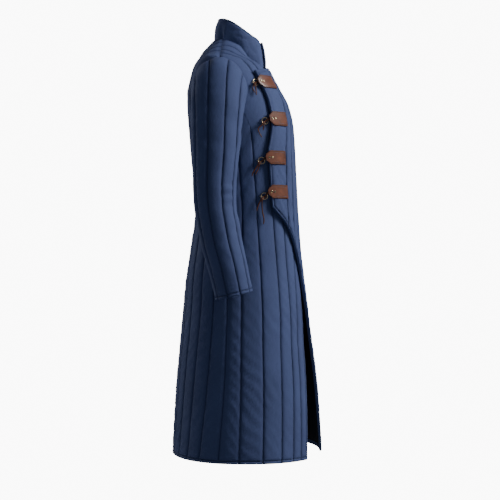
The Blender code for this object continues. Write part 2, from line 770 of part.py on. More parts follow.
def tab(name, edge_angle, z):
    """Leather tab with a blunt point past the flap's edge, laid on the flap's own surface."""
    stations = ((0.0, TAB_TIP_HALF), (0.002, TAB_TIP_HALF + 0.0035),
                (TAB_TIP_LENGTH - 0.003, TAB_WIDTH / 2 - 0.002), (TAB_TIP_LENGTH, TAB_WIDTH / 2),
                (0.026, TAB_WIDTH / 2), (0.039, TAB_WIDTH / 2), (0.052, TAB_WIDTH / 2),
                (TAB_LENGTH - 0.001, TAB_WIDTH / 2), (TAB_LENGTH, TAB_WIDTH / 2 - 0.001))
    edge_point, round_way, up, normal = body_frame(edge_angle, z)
    top = []
    under = []
    for distance, half in stations:
        angle = angle_forward(edge_angle, z, distance - TAB_OVERHANG, OVERLAP_STEP)
        top.append([])
        under.append([])
        for share in (-1.0, 0.0, 1.0):
            height = z + share * half * up.z
            point, way, rise, out = body_frame(angle, height)
            under[-1].append(point + out * (OVERLAP_STEP + TAB_LIFT))
            top[-1].append(point + out * (OVERLAP_STEP + TAB_LIFT + TAB_THICKNESS))
    inner_at = [(i, i + 1) for i in range(len(stations) - 1)]
    return wall(name, top, under, inner_at, False, leather())


def turned(point, forward, up, out):
    """Matrix that lays a piece's X forward, Y up and Z out at a point."""
    matrix = Matrix((forward, up, out)).transposed().to_4x4()
    matrix.translation = point
    return matrix


def ring_piece(name, matrix, radius, wire, around, across):
    bpy.ops.mesh.primitive_torus_add(major_radius=radius, minor_radius=wire,
                                     major_segments=around, minor_segments=across)
    made = bpy.context.active_object
    mesh = made.data
    bpy.data.objects.remove(made)
    mesh.name = name
    mesh.shade_smooth()
    result = put(name, mesh, brass())
    result.matrix_world = matrix
    return result


def smooth_route(points, spacing):
    """Points read from a smooth curve through a route's own points."""
    route = [Vector(p) for p in points]
    ends = [route[0] * 2 - route[1]] + route + [route[-1] * 2 - route[-2]]
    fine = []
    for a, b, c, d in zip(ends, ends[1:], ends[2:], ends[3:]):
        for step in range(12):
            t = step / 12
            fine.append(0.5 * (2 * b + (c - a) * t + (2 * a - 5 * b + 4 * c - d) * t * t
                               + (3 * b - a - 3 * c + d) * t ** 3))
    fine.append(route[-1])
    total = sum((b - a).length for a, b in zip(fine, fine[1:]))
    count = max(3, round(total / spacing))
    result = [fine[0]]
    walked = 0.0
    for a, b in zip(fine, fine[1:]):
        walked += (b - a).length
        if walked >= len(result) * total / count and len(result) < count:
            result.append(b)
    return result + [fine[-1]]


def tube(name, points, radius, surface):
    data = bpy.data.curves.new(name, "CURVE")
    data.dimensions = "3D"
    data.bevel_depth = radius
    data.bevel_resolution = 2
    data.use_fill_caps = True
    spline = data.splines.new("POLY")
    spline.points.add(len(points) - 1)
    for spot, point in zip(spline.points, points):
        spot.co = (*point, 1)
    return put(name, data, surface)


def knot(name, matrix):
    shape = bmesh.new()
    bmesh.ops.create_uvsphere(shape, u_segments=10, v_segments=7, radius=1.0)
    bmesh.ops.scale(shape, vec=KNOT_SIZE, verts=shape.verts)
    mesh = bpy.data.meshes.new(name)
    shape.to_mesh(mesh)
    shape.free()
    mesh.shade_smooth()
    result = put(name, mesh, leather())
    result.matrix_world = matrix
    return result


def fastening(number, lines, z, drop, back, ends):
    """Tab, eyelets, ring, staple and thong of one fastening, counted from the top."""
    edge_angle = flap_edge_angle(lines, z)
    tab(f"tab_{number}", edge_angle, z)
    for place, distance in enumerate(EYELET_PLACES):
        angle = angle_forward(edge_angle, z, distance - TAB_OVERHANG, OVERLAP_STEP)
        point, forward, up, out = body_frame(angle, z)
        lift = OVERLAP_STEP + TAB_LIFT + TAB_THICKNESS + EYELET_WIRE + SEAM_GAP
        ring_piece(f"eyelet_{number}_{place + 1}", turned(point + out * lift, forward, up, out),
                   EYELET_RADIUS, EYELET_WIRE, 12, 5)

    ring_z = z - drop
    ring_angle = angle_forward(flap_edge_angle(lines, ring_z), ring_z, -back, 0.0)
    point, forward, up, out = body_frame(ring_angle, ring_z)

    def spot(along, rise, away):
        return point + forward * along + up * rise + out * away

    lean = Matrix.Rotation(-RING_TILT, 4, "Y")
    ring_piece(f"ring_{number}", turned(spot(0, 0, RING_LIFT), forward, up, out) @ lean,
               RING_RADIUS, RING_WIRE, 24, 6)
    rear = -RING_RADIUS * math.cos(RING_TILT)
    arch = [spot(rear - STAPLE_RADIUS, 0, STAPLE_FOOT)]
    for step in range(7):
        turn = math.pi * step / 6
        arch.append(spot(rear - STAPLE_RADIUS * math.cos(turn), 0,
                         STAPLE_LIFT + STAPLE_RADIUS * math.sin(turn)))
    arch.append(spot(rear + STAPLE_RADIUS, 0, STAPLE_FOOT))
    tube(f"staple_{number}", arch, STAPLE_WIRE, brass())

    knot(f"knot_{number}", turned(spot(*KNOT_PLACE), forward, up, out))
    middle_along, middle_share, middle_out = THONG_MIDDLE
    hold = [spot(back - THONG_TAB_SETBACK, drop, THONG_TAB_OUT),
            spot(middle_along, drop * middle_share, middle_out)]
    hold += [spot(*place) for place in THONG_ENDS]
    tube(f"thong_{number}", smooth_route(hold, 0.004), LACE_RADIUS, leather())
    for letter, route, side in zip("ab", ends, (-1, 1)):
        along, rise, away = KNOT_PLACE
        start = (along + LACE_START[0] * side, rise + LACE_START[1], away + LACE_START[2])
        points = [spot(*start)]
        for step in route[1:]:
            points.append(spot(*[near + far / 1000 for near, far in zip(KNOT_PLACE, step)]))
        tube(f"lace_{number}_{letter}", smooth_route(points, 0.006), LACE_RADIUS, leather())


# The whole coat

def build():
    for thing in list(bpy.data.objects):
        bpy.data.objects.remove(thing, do_unlink=True)
    group = bpy.data.collections.new(COLLECTION)
    bpy.context.scene.collection.children.link(group)

    left_lines = Lines(LEFT_FRONT_LINES, -1, True)
    panel("back", Lines(BACK_LINES, 1, False), lambda angle: 0.0, mirrored=True)
    panel("right_front", Lines(RIGHT_FRONT_LINES, 1, True),
          lambda angle: flap_rise(angle) - OVERLAP_STEP)
    panel("left_front", left_lines, flap_rise)
    sleeve("right_sleeve", 1)
    sleeve("left_sleeve", -1)
    collar()
    for number, (z, drop, back, *ends) in enumerate(FASTENINGS, start=1):
        fastening(number, left_lines, z, drop, back, ends)


build()
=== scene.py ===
# The looks of a padded gambeson worn with no wearer: quilted cotton canvas, leather tabs, brass
# rings and leather thongs. Metres, +Z up, the front faces -Y and the wearer's right side is -X.

import math

import bmesh
import bpy
import numpy as np
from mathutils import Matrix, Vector


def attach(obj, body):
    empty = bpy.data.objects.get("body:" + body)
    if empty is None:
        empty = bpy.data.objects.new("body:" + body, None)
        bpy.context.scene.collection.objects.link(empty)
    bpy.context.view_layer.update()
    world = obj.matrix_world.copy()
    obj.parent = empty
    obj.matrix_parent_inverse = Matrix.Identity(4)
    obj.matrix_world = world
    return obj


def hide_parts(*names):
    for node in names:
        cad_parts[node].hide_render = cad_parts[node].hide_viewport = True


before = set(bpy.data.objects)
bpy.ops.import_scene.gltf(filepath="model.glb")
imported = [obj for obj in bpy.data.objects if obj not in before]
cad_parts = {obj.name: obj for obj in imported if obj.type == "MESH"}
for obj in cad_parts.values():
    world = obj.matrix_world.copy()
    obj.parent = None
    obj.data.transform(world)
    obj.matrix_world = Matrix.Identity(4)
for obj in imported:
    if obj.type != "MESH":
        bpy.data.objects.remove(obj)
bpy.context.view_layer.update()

# Camera
# It looks square at the wearer's right side, level with the hips, through a long lens.

CAMERA_DISTANCE = 4.2
CAMERA_FORWARD = 0.07425
CAMERA_Z = -0.565
VIEW_WIDTH = 1.375
SENSOR_WIDTH = 36.0


def add_object(name, data):
    """Puts a new object with this data into the scene."""
    thing = bpy.data.objects.new(name, data)
    bpy.context.scene.collection.objects.link(thing)
    return thing


camera_data = bpy.data.cameras.new("camera")
camera_data.sensor_width = SENSOR_WIDTH
camera_data.lens = SENSOR_WIDTH * CAMERA_DISTANCE / VIEW_WIDTH
camera = add_object("camera", camera_data)
camera.location = (-CAMERA_DISTANCE, -CAMERA_FORWARD, CAMERA_Z)
camera.rotation_euler = (math.pi / 2, 0, -math.pi / 2)
bpy.context.scene.camera = camera

# Studio
# A white surround with a flat floor, a large soft lamp in front of the coat, a weak one below
# the camera and one behind the coat's left side. The surround itself lights nothing.

SURROUND_RADIUS = 14.0
FLOOR_Z = -1.48
SURROUND_WHITE = 10.0
ROOM_LIGHT = (0.80, 0.86, 1.0)
ROOM_STRENGTH = 0.15

surround_shape = bmesh.new()
bmesh.ops.create_uvsphere(surround_shape, u_segments=48, v_segments=24, radius=SURROUND_RADIUS)
for corner in surround_shape.verts:
    corner.co.z = max(corner.co.z, FLOOR_Z)
surround_mesh = bpy.data.meshes.new("surround")
surround_shape.to_mesh(surround_mesh)
surround_shape.free()
surround_paint = bpy.data.materials.new("surround_white")
surround_paint.use_nodes = True
paint_shader = surround_paint.node_tree.nodes["Principled BSDF"]
paint_shader.inputs["Base Color"].default_value = (0, 0, 0, 1)
paint_shader.inputs["Roughness"].default_value = 1.0
paint_shader.inputs["Specular IOR Level"].default_value = 0.0
paint_shader.inputs["Emission Color"].default_value = (1, 1, 1, 1)
paint_shader.inputs["Emission Strength"].default_value = SURROUND_WHITE
surround_mesh.materials.append(surround_paint)
surround = add_object("surround", surround_mesh)
surround.visible_diffuse = False
surround.visible_glossy = False
surround.visible_transmission = False
surround.visible_shadow = False

world = bpy.data.worlds.new("room")
bpy.context.scene.world = world
world.use_nodes = True
world.node_tree.nodes["Background"].inputs["Color"].default_value = (*ROOM_LIGHT, 1)
world.node_tree.nodes["Background"].inputs["Strength"].default_value = ROOM_STRENGTH

for lamp_name, place, aim, size, power, colour in (
        ("front_lamp", (-0.72, -3.3, 1.5), (0, -0.05, -0.6), 1.3, 212, (1.0, 0.98, 0.95)),
        ("camera_lamp", (-4.0, 0.4, -1.1), (0, 0, -1.0), 2.0, 15, (0.96, 0.98, 1.0)),
        ("back_lamp", (2.6, 3.2, 1.2), (0, 0, -0.5), 2.6, 75, (0.97, 0.98, 1.0))):
    lamp_data = bpy.data.lights.new(lamp_name, "AREA")
    lamp_data.shape = "SQUARE"
    lamp_data.size = size
    lamp_data.energy = power
    lamp_data.color = colour
    lamp = add_object(lamp_name, lamp_data)
    lamp.location = place
    lamp.rotation_euler = (Vector(aim) - Vector(place)).to_track_quat("-Z", "Y").to_euler()

# Back panel
# The back of the coat is cut in one width of cotton canvas over wadding, quilted from top to
# bottom in narrow channels, with a rolled hem and a row of stitching above it.


def smooth_curve(places, values):
    """Monotone cubic through a table's column, as a function of place."""
    order = np.argsort(places)
    p = np.asarray(places, float)[order]
    v = np.asarray(values, float)[order]
    step = np.diff(p)
    rise = np.diff(v) / step
    slope = np.concatenate((rise[:1], np.zeros(len(v) - 2), rise[-1:]))
    for i in range(1, len(v) - 1):
        if rise[i - 1] * rise[i] > 0:
            a = 2 * step[i] + step[i - 1]
            b = step[i] + 2 * step[i - 1]
            slope[i] = (a + b) / (a / rise[i - 1] + b / rise[i])

    def read(place):
        place = np.clip(place, p[0], p[-1])
        i = np.clip(np.searchsorted(p, place) - 1, 0, len(step) - 1)
        t = (place - p[i]) / step[i]
        return ((1 + 2 * t) * (1 - t) ** 2 * v[i] + t * (1 - t) ** 2 * step[i] * slope[i]
                + t * t * (3 - 2 * t) * v[i + 1] + t * t * (t - 1) * step[i] * slope[i + 1])

    return read


def ease(value):
    """Zero below 0, one above 1, smooth between."""
    t = np.clip(value, 0, 1)
    return t * t * (3 - 2 * t)


def hump(share, power):
    """Zero at both ends and one at its height, which lies nearer the far end with more power."""
    height = (power / (power + 1)) ** power / (power + 1)
    return share ** power * (1 - share) / height


def unit(ways):
    """Directions of length one."""
    return ways / np.maximum(np.linalg.norm(ways, axis=-1, keepdims=True), 1e-12)


# Body sections, in millimetres: how far the cloth reaches to the back and the front of the
# shoulder line, where it is widest, half its width, and how square its two halves are.
BODY_COLUMNS = ("z", "back", "front", "widest", "half_width", "back_power", "front_power")
BODY_SECTIONS = (
    (-1115, -139, 272, 66, 290, 2.3, 2.2),
    (-994, -132, 264, 66, 275, 2.3, 2.2),
    (-906, -126, 256, 65, 263, 2.3, 2.2),
    (-818, -118, 245, 63, 250, 2.3, 2.2),
    (-730, -110, 234, 62, 238, 2.3, 2.3),
    (-642, -102, 223, 60, 226, 2.4, 2.3),
    (-554, -88, 212, 60, 213, 2.5, 2.4),
    (-466, -76, 206, 60, 203, 2.5, 2.4),
    (-378, -82, 201, 55, 205, 2.6, 2.4),
    (-290, -90, 197, 50, 208, 2.8, 2.4),
    (-235, -93, 193, 45, 208, 3.4, 2.4),
    (-180, -96, 182, 35, 205, 4.0, 2.3),
    (-142, -96, 165, 25, 202, 4.2, 2.2),
    (-97, -88, 143, 10, 199, 4.0, 2.0),
    (-75, -82, 132, 0, 196, 3.6, 1.9),
    (-62, -76, 121, -5, 194, 3.2, 1.8),
    (-58, -74, 116, -5, 193, 3.0, 1.8),
    (-52, -70, 104, -5, 180.4, 2.8, 1.7),
    (-41, -65, 88, -4, 157.2, 2.5, 1.7),
    (-31, -60, 79, -3, 136.2, 2.3, 1.8),
    (-11, -45, 66, -1, 94.2, 2.1, 2.0),
    (10, -27, 45, 1, 50, 2.0, 2.0),
    (18, -20, 38, 2, 33.2, 2.0, 2.0),
)
BODY = {name: smooth_curve([row[0] / 1000 for row in BODY_SECTIONS],
                           [row[i] / (1 if "power" in name else 1000) for row in BODY_SECTIONS])
        for i, name in enumerate(BODY_COLUMNS)}
FRAME_TURN = 0.5
FRAME_RISE = 0.0015


def section_sizes(z, front):
    """Middle, half width, depth and squareness of the front or back half at height z."""
    widest = BODY["widest"](z)
    depth = np.where(front, BODY["front"](z) - widest, widest - BODY["back"](z))
    power = np.where(front, BODY["front_power"](z), BODY["back_power"](z))
    return widest, BODY["half_width"](z), depth, power


def body_point(angle, z):
    """Points on the body at angles in degrees from the centre front to the wearer's right."""
    across = np.sin(np.radians(angle))
    along = np.cos(np.radians(angle))
    widest, half_width, depth, power = section_sizes(z, along >= 0)
    reach = (np.abs(across) ** power + np.abs(along) ** power) ** (-1 / power)
    return np.stack([-half_width * reach * across, -(widest + depth * reach * along),
                     z + 0 * reach], axis=-1)


def body_frame(angle, z):
    """Points, directions round the body to the front, up the cloth and straight out of it."""
    round_way = unit(body_point(angle - FRAME_TURN, z) - body_point(angle + FRAME_TURN, z))
    rise = unit(body_point(angle, z + FRAME_RISE) - body_point(angle, z - FRAME_RISE))
    out = unit(np.cross(round_way, rise))
    return body_point(angle, z), round_way, np.cross(out, round_way), out


def angle_of(side, forward, z):
    """Angle of the section point with the same depth."""
    widest, half_width, depth, power = section_sizes(z, forward >= BODY["widest"](z))
    share = min(abs(forward - widest) / depth, 1.0)
    across = (1 - share ** power) ** (1 / power)
    along = math.copysign(share, forward - widest)
    return math.copysign(math.degrees(math.atan2(across, along)), side)


def angle_at_width(x, z, front):
    """Angle of the section point that lies x to the wearer's right."""
    widest, half_width, depth, power = section_sizes(z, front)
    share = np.minimum(np.abs(x) / half_width, 1.0)
    along = (1 - share ** power) ** (1 / power)
    return np.copysign(np.degrees(np.arctan2(share, along if front else -along)), x)


ARMHOLE_TOP_Z = -0.058
ARMHOLE_BOTTOM_Z = -0.235
ARMHOLE_HALF_WIDTH = 0.072
SHOULDER_Z = -0.058
NECK_SIDE_Z = 0.0065
NECK_FRONT_Z = -0.062
NECK_HALF_WIDTH = 0.066
NECK_SQUARENESS = 0.6
NECK_SIDE_TURN = 124.6
FLAP_TOP_HALF = 0.167
FLAP_TOP_DROP = 0.032


def armhole_edge(turn):
    """Armhole at a turn in degrees from its top, positive to the front: forward place, z."""
    middle_z = (ARMHOLE_TOP_Z + ARMHOLE_BOTTOM_Z) / 2
    half_height = (ARMHOLE_TOP_Z - ARMHOLE_BOTTOM_Z) / 2
    forward = BODY["widest"](SHOULDER_Z) + ARMHOLE_HALF_WIDTH * math.sin(math.radians(turn))
    return forward, middle_z + half_height * math.cos(math.radians(turn))


def neck_edge(turn):
    """Neck hole at a turn in degrees from the centre front: side place, z."""
    across = math.sin(math.radians(turn))
    along = math.cos(math.radians(turn))
    z = -0.026 - 0.036 * along + 0.0076 * across ** 2 * (1 - 2.4 * along)
    return NECK_HALF_WIDTH * max(across, 0.0) ** NECK_SQUARENESS, z


def top_end(top, side, front):
    """Angle and height where a quilting line meets the panel's upper edge."""
    if top <= 1.0:
        forward, z = armhole_edge(180 * (1 - top) * (1 if front else -1))
        return angle_of(side, forward, z), z
    if top <= 2.0:
        return side * 90.0, SHOULDER_Z + (NECK_SIDE_Z - SHOULDER_Z) * (top - 1)
    if top <= 3.0:
        turn = NECK_SIDE_TURN + ((0.0 if front else 180.0) - NECK_SIDE_TURN) * (top - 2)
        x, z = neck_edge(turn)
        return side * angle_at_width(x, z, turn < NECK_SIDE_TURN), z
    z = NECK_FRONT_Z - FLAP_TOP_DROP * (top - 3)
    return -side * angle_at_width(FLAP_TOP_HALF * (top - 3), z, True), z


HEM_Z = -1.115
LINE_HEIGHTS = (-0.300, -0.466, -0.650, -0.850, HEM_Z)
FRONT_ARMHOLE_BOW = 0.016
BACK_ARMHOLE_BOW = 0.026
NECK_SIDE_BOW = 0.012


class Lines:
    """A panel's quilting lines, read at any place between two of them.

    A row holds: 1 if it is stitched, its top place (0 to 1 up the armhole, to 2 along the
    shoulder, to 3 round the neck, to 4 along the flap's top), its angle at five heights, and the
    height of its lower end.
    """

    def __init__(self, rows, side, front):
        self.rows = rows
        self.side = side
        self.front = front
        self.numbers = range(len(rows))
        self.columns = [smooth_curve(self.numbers, [row[i] for row in rows]) for i in range(8)]
        self.courses = {}

    def stitched(self, line):
        """Whether a stitched line of the table's own lies here."""
        return line == int(line) and self.rows[int(line)][0] == 1

    def top_place(self, line):
        """Where a line meets the upper edge, on the table's scale."""
        return float(np.interp(line, self.numbers, [row[1] for row in self.rows]))

    def ends(self, line):
        """Top and bottom of a line, each as an angle and a height, and its angle at a height."""
        if line not in self.courses:
            angles = smooth_curve(LINE_HEIGHTS, [self.columns[i](line) for i in range(2, 7)])
            bottom = self.columns[7](line)
            top = top_end(self.top_place(line), self.side, self.front)
            self.courses[line] = (top, (angles(bottom), bottom), angles)
        return self.courses[line]

    def course(self, number, share):
        """Angles and heights of one of the table's own lines at shares of its length."""
        (top_angle, top_z), (low_angle, bottom), angles = self.ends(number)
        z = bottom + (top_z - bottom) * share
        chest_z = LINE_HEIGHTS[0]
        rise = np.clip((z - chest_z) / (top_z - chest_z), 0, 1)
        low = body_point(angles(chest_z), chest_z)
        high = body_point(top_angle, top_z)
        point = low + (high - low) * rise[:, None]
        x = -point[:, 0]
        top = self.rows[number][1]
        if top < 1.0:
            forward = -point[:, 1]
            widest, half_width, depth, power = section_sizes(z, forward >= BODY["widest"](z))
            angle = np.degrees(np.arctan2(x / half_width, (forward - widest) / depth))
        else:
            way = np.sign(x) + (x == 0)
            if top == 1.0:
                bow = FRONT_ARMHOLE_BOW if self.front else BACK_ARMHOLE_BOW
                x = x + way * bow * hump(rise, 3)
            if top == 2.0 and self.front:
                x = x - way * NECK_SIDE_BOW * hump(rise, 8)
            angle = angle_at_width(x, z, self.front)
            if not self.front:
                angle = np.abs(angle)
        return np.where(z <= chest_z, angles(z), angle), z

    def place(self, line, share):
        """Angles and heights between two lines, shaped by the panel's own edges."""
        before = min(int(line), len(self.rows) - 2)
        part = line - before
        near = self.course(before, share)
        far = self.course(before + 1, share)
        if part in (0, 1):
            return far if part else near
        own, near_ends, far_ends = self.ends(line), self.ends(before), self.ends(before + 1)
        result = []
        for i in (0, 1):
            at_top, at_bottom = [own[k][i] - near_ends[k][i]
                                 - (far_ends[k][i] - near_ends[k][i]) * part for k in (0, 1)]
            result.append(near[i] + (far[i] - near[i]) * part
                          + at_top * share ** 12 + at_bottom * (1 - share) ** 4)
        return result[0], result[1]


PADDING = 0.0080
STITCH_DIP = 0.0046
GROOVE_REACH = 0.0026
PILLOW = 0.0011
PILLOW_REACH = 0.011
SEAM_DIP = 0.0030
SEAM_REACH = 0.0035
SEAM_PULL = 0.00025
ROLL_RADIUS = 0.0039
BAND = 0.0080
BAND_DIP = 0.0040
BAND_REACH = 0.0015
LINING_DIP = 0.0007
FACING = 0.0135
FACING_EASE = 0.012
SEAM_EASE = 0.006
SEAM_CALM = 0.018
SEAM_SHADE = 0.002
LINING_REACH = 0.006
LEAST_WALL = 0.0003
PUCKER_DEPTH = 0.0010
PUCKER_REACH = 0.009
PUCKER_START = 0.0015
PUCKER_LENGTH = 0.0085
PUCKER_WIDTH = 0.05
PUCKER_SLOPE = 0.7
PATCH_CELL = (0.07, 0.09)
DRAG_CELL = (0.06, 0.08)
DRAG_SLOPE = (0.75, 0.66)
DRAG_SWERVE = 3.0
DRAG_WAVE = 0.026
DRAG_DEPTH = 0.00150
DRAG_EASE = 0.012
SWAY_CELL = (0.14, 0.16)
SWAY_DEPTH = 0.0014
SEAM_STITCH_SHARE = 0.6
SPAN_SHARES = (0.0, 0.014, 0.034, 0.062, 0.105, 0.17, 0.27, 0.38)
EDGE_ROWS = (0.0, 0.0005, 0.0013, 0.0026, 0.0042, 0.0058, 0.0070, 0.0080, 0.0090, 0.0104,
             0.0130, 0.0180)
TOP_ROWS = (0.0150, 0.0110, 0.0080, 0.0050, 0.0030, 0.0015, 0.0005, 0.0)
MIDDLE_ROWS = 104


def soft_noise(seed, across, along):
    """Smooth noise between -1 and 1 at places given in cells."""
    cells = 64
    table = np.random.default_rng(seed).uniform(-1, 1, (cells, cells))
    i = np.floor(across).astype(int)
    j = np.floor(along).astype(int)
    s = ease(across - i)
    t = ease(along - j)
    low = table[i % cells, j % cells] * (1 - s) + table[(i + 1) % cells, j % cells] * s
    high = (table[i % cells, (j + 1) % cells] * (1 - s)
            + table[(i + 1) % cells, (j + 1) % cells] * s)
    return low * (1 - t) + high * t


def roll(distance, radius=ROLL_RADIUS):
    """How far a rolled edge turns in at a distance from its rim."""
    left = radius - np.minimum(distance, radius)
    return radius - np.sqrt(radius ** 2 - left ** 2)


def band_groove(distance):
    """The stitched groove that runs along a rolled edge."""
    return BAND_DIP * np.exp(-np.abs(distance - BAND) / BAND_REACH)


def deepest(dips):
    """Soft maximum of several dips."""
    return sum(np.maximum(dip, 0) ** 4 for dip in dips) ** 0.25


def channel_groove(to_line):
    """The groove of a stitched line, with the padding's soft shoulders beside it."""
    pillow = PILLOW * np.exp(-to_line / PILLOW_REACH)
    return np.exp(-to_line / GROOVE_REACH) * (STITCH_DIP - PILLOW) + pillow


def groove_mark(grooves, to_seam):
    """How deep in a groove or seam each point lies, from 0 to 1; the canvas darkens its colour by
    it as painted shade.
    """
    dips = grooves + [STITCH_DIP * np.exp(-to_seam / SEAM_SHADE)]
    return np.clip(deepest(dips) / STITCH_DIP, 0, 1)


def puckers(seed, across, along, to_line):
    """Short wrinkles beside the stitched lines, from noise at places given in cells."""
    return (soft_noise(seed, across, along) * PUCKER_DEPTH * np.exp(-to_line / PUCKER_REACH)
            * (1 - np.exp(-to_line / PUCKER_START)))


def creases_at(points, creases):
    """Depth of the placed creases at points. A crease is its two ends, in millimetres as x,
    forward and z, its half width and its depth; a negative depth is a ridge."""
    depth = np.zeros(points.shape[:-1])
    for start, end, width, amount in creases:
        a = np.array((start[0], -start[1], start[2])) / 1000
        b = np.array((end[0], -end[1], end[2])) / 1000
        share = np.clip(((points - a) @ (b - a)) / ((b - a) @ (b - a)), 0, 1)
        away = np.linalg.norm(points - a - share[..., None] * (b - a), axis=-1) / (width / 1000)
        fade = np.sin(math.pi * np.clip(share, 0.04, 0.96)) ** 0.6
        depth += amount / 1000 * fade * (1 - 0.55 * away ** 2) * np.exp(-away ** 2)
    return depth


def distances(points, axis):
    """Distance walked along a grid's axis, from its first points."""
    steps = np.linalg.norm(np.diff(points, axis=axis), axis=-1)
    start = np.zeros_like(np.take(steps, [0], axis=axis))
    return np.concatenate((start, np.cumsum(steps, axis=axis)), axis=axis)


def shell(name, outer, inner, closed, groove, across, along, surfaces, facing=None):
    """Closed wall between two grids of points, with its cloth's own lengths as a UV map.

    The inside has the second surface, apart from where facing says that the first turns in.
    """
    columns, rows = outer.shape[:2]
    count = columns * rows
    index = np.arange(count).reshape(columns, rows)
    if closed:
        index = np.vstack((index, index[:1]))
    skin = np.stack((index[:-1, :-1], index[1:, :-1], index[1:, 1:], index[:-1, 1:]), axis=-1)
    skin = skin.reshape(-1, 4)
    rims = []
    for row in (0, -1):
        edge = index[:, row]
        rims.append(np.stack((edge[:-1], edge[1:], edge[1:] + count, edge[:-1] + count), -1))
    if not closed:
        for column in (0, -1):
            edge = index[column]
            rims.append(np.stack((edge[:-1], edge[1:], edge[1:] + count, edge[:-1] + count), -1))
    faces = np.vstack([skin] + rims + [skin[:, ::-1] + count])
    mesh = bpy.data.meshes.new(name)
    mesh.from_pydata(np.vstack((outer.reshape(-1, 3), inner.reshape(-1, 3))).tolist(), [],
                     faces.tolist())
    shape = bmesh.new()
    shape.from_mesh(mesh)
    bmesh.ops.recalc_face_normals(shape, faces=shape.faces)
    shape.to_mesh(mesh)
    shape.free()
    lining_from = len(faces) - len(skin)
    inside = np.arange(len(faces)) >= lining_from
    if facing is not None:
        inside[lining_from:] = ~facing.ravel()[skin].all(axis=1)
    mesh.polygons.foreach_set("material_index", inside.astype(np.int32))
    corners = np.zeros(len(mesh.loops), np.int32)
    mesh.loops.foreach_get("vertex_index", corners)
    lengths = np.stack((across.ravel(), along.ravel()), -1)
    lengths = np.vstack((lengths, lengths))[corners].reshape(-1, 4, 2)
    if closed:
        far = lengths[..., 0].max(1, keepdims=True)
        last = far > across.max() * 0.7
        lengths[..., 0] += np.where(last & (lengths[..., 0] < far * 0.3), far, 0)
    mesh.uv_layers.new(name="cloth").data.foreach_set("uv", lengths.ravel())
    # The canvas darkens its colour by this groove mark as painted shade; the leather darkens by it
    # along its tooled line and burnished edges.
    marks = mesh.attributes.new("groove", "FLOAT", "POINT")
    marks.data.foreach_set("value", np.concatenate((groove.ravel(), 0 * groove.ravel())))
    for surface in surfaces:
        mesh.materials.append(surface)
    mesh.shade_smooth()
    mesh.set_sharp_from_angle(angle=math.radians(55))
    return add_object(name, mesh)


class Wire:
    """A value in a material's nodes. Python's own signs add Math nodes to it."""

    def __init__(self, tree, socket=None):
        self.tree = tree
        self.socket = socket

    def node(self, kind, settings=None, values=None, output=0):
        """Adds a node: its settings first, then the values or links of its sockets."""
        made = self.tree.nodes.new(kind)
        for name, value in (settings or {}).items():
            setattr(made, name, value)
        for name, value in (values or {}).items():
            if isinstance(value, Wire):
                self.tree.links.new(value.socket, made.inputs[name])
            else:
                made.inputs[name].default_value = value
        return Wire(self.tree, made.outputs[output])

    def sum_of(self, operation, left, right=0.0):
        """The value of a Math node."""
        return self.node("ShaderNodeMath", {"operation": operation}, {0: left, 1: right})

    def __add__(self, other):
        return self.sum_of("ADD", self, other)

    def __sub__(self, other):
        return self.sum_of("SUBTRACT", self, other)

    def __mul__(self, other):
        return self.sum_of("MULTIPLY", self, other)


def new_material(name, constants):
    """A material, its shader with its constant values set, and a wire to start from."""
    surface = bpy.data.materials.new(name)
    surface.use_nodes = True
    shader = surface.node_tree.nodes["Principled BSDF"]
    for socket, value in constants.items():
        shader.inputs[socket].default_value = value
    return surface, shader, Wire(surface.node_tree)


def feed(surface, shader, wires):
    """Links each wire to the shader's socket of its name."""
    for socket, wire in wires.items():
        surface.node_tree.links.new(wire.socket, shader.inputs[socket])


def colour_mix(wire, share, low, high):
    """Between two colours, by a share."""
    return wire.node("ShaderNodeMix", {"data_type": "RGBA"},
                     {0: share, 6: (*low, 1), 7: (*high, 1)}, output=2)


def cloud_of(wire, place, scale, detail=2.0):
    """Noise read at a place."""
    return wire.node("ShaderNodeTexNoise", None, {
        "Vector": place, "Scale": scale, "Detail": detail})


def relief_of(wire, height, strength, distance):
    """A bump from a height."""
    return wire.node("ShaderNodeBump", None, {
        "Strength": strength, "Distance": distance, "Height": height})


THREADS_PER_METRE = 1150.0


def canvas(name, deep, pale, roughness, sheen):
    """Cotton canvas: crossed threads, uneven dye, and painted shade that darkens it in the
    stitched grooves and seams.
    """
    surface, shader, wire = new_material(name, {
        "Roughness": roughness, "Specular IOR Level": 0.25, "Sheen Weight": sheen,
        "Sheen Roughness": 0.45, "Sheen Tint": (*pale, 1)})
    place = wire.node("ShaderNodeUVMap", {"uv_map": "cloth"})
    spread = wire.node("ShaderNodeSeparateXYZ", None, {0: place})
    lift = Wire(wire.tree, spread.socket.node.outputs[1])
    warp = wire.sum_of("SINE", spread * (THREADS_PER_METRE * math.pi))
    weft = wire.sum_of("SINE", lift * (THREADS_PER_METRE * math.pi))
    threads = warp * warp + weft * weft
    dye = cloud_of(wire, place, 9.0, 4.0)
    slub = cloud_of(wire, place, 420.0)
    groove = wire.node("ShaderNodeAttribute", {"attribute_name": "groove"}, output=2)
    # The groove term is painted shade: it darkens the colour in the grooves and seams.
    tone_share = dye * 0.55 + slub * 0.35 + threads * 0.06 - groove * 0.55
    feed(surface, shader, {
        "Base Color": colour_mix(wire, tone_share, deep, pale),
        "Roughness": dye * 0.12 + (roughness - 0.06),
        "Normal": relief_of(wire, threads * 0.6 + slub * 0.8, 0.35, 0.00035)})
    return surface


BLUE_DEEP = (0.020, 0.032, 0.090)
BLUE_PALE = (0.072, 0.102, 0.235)
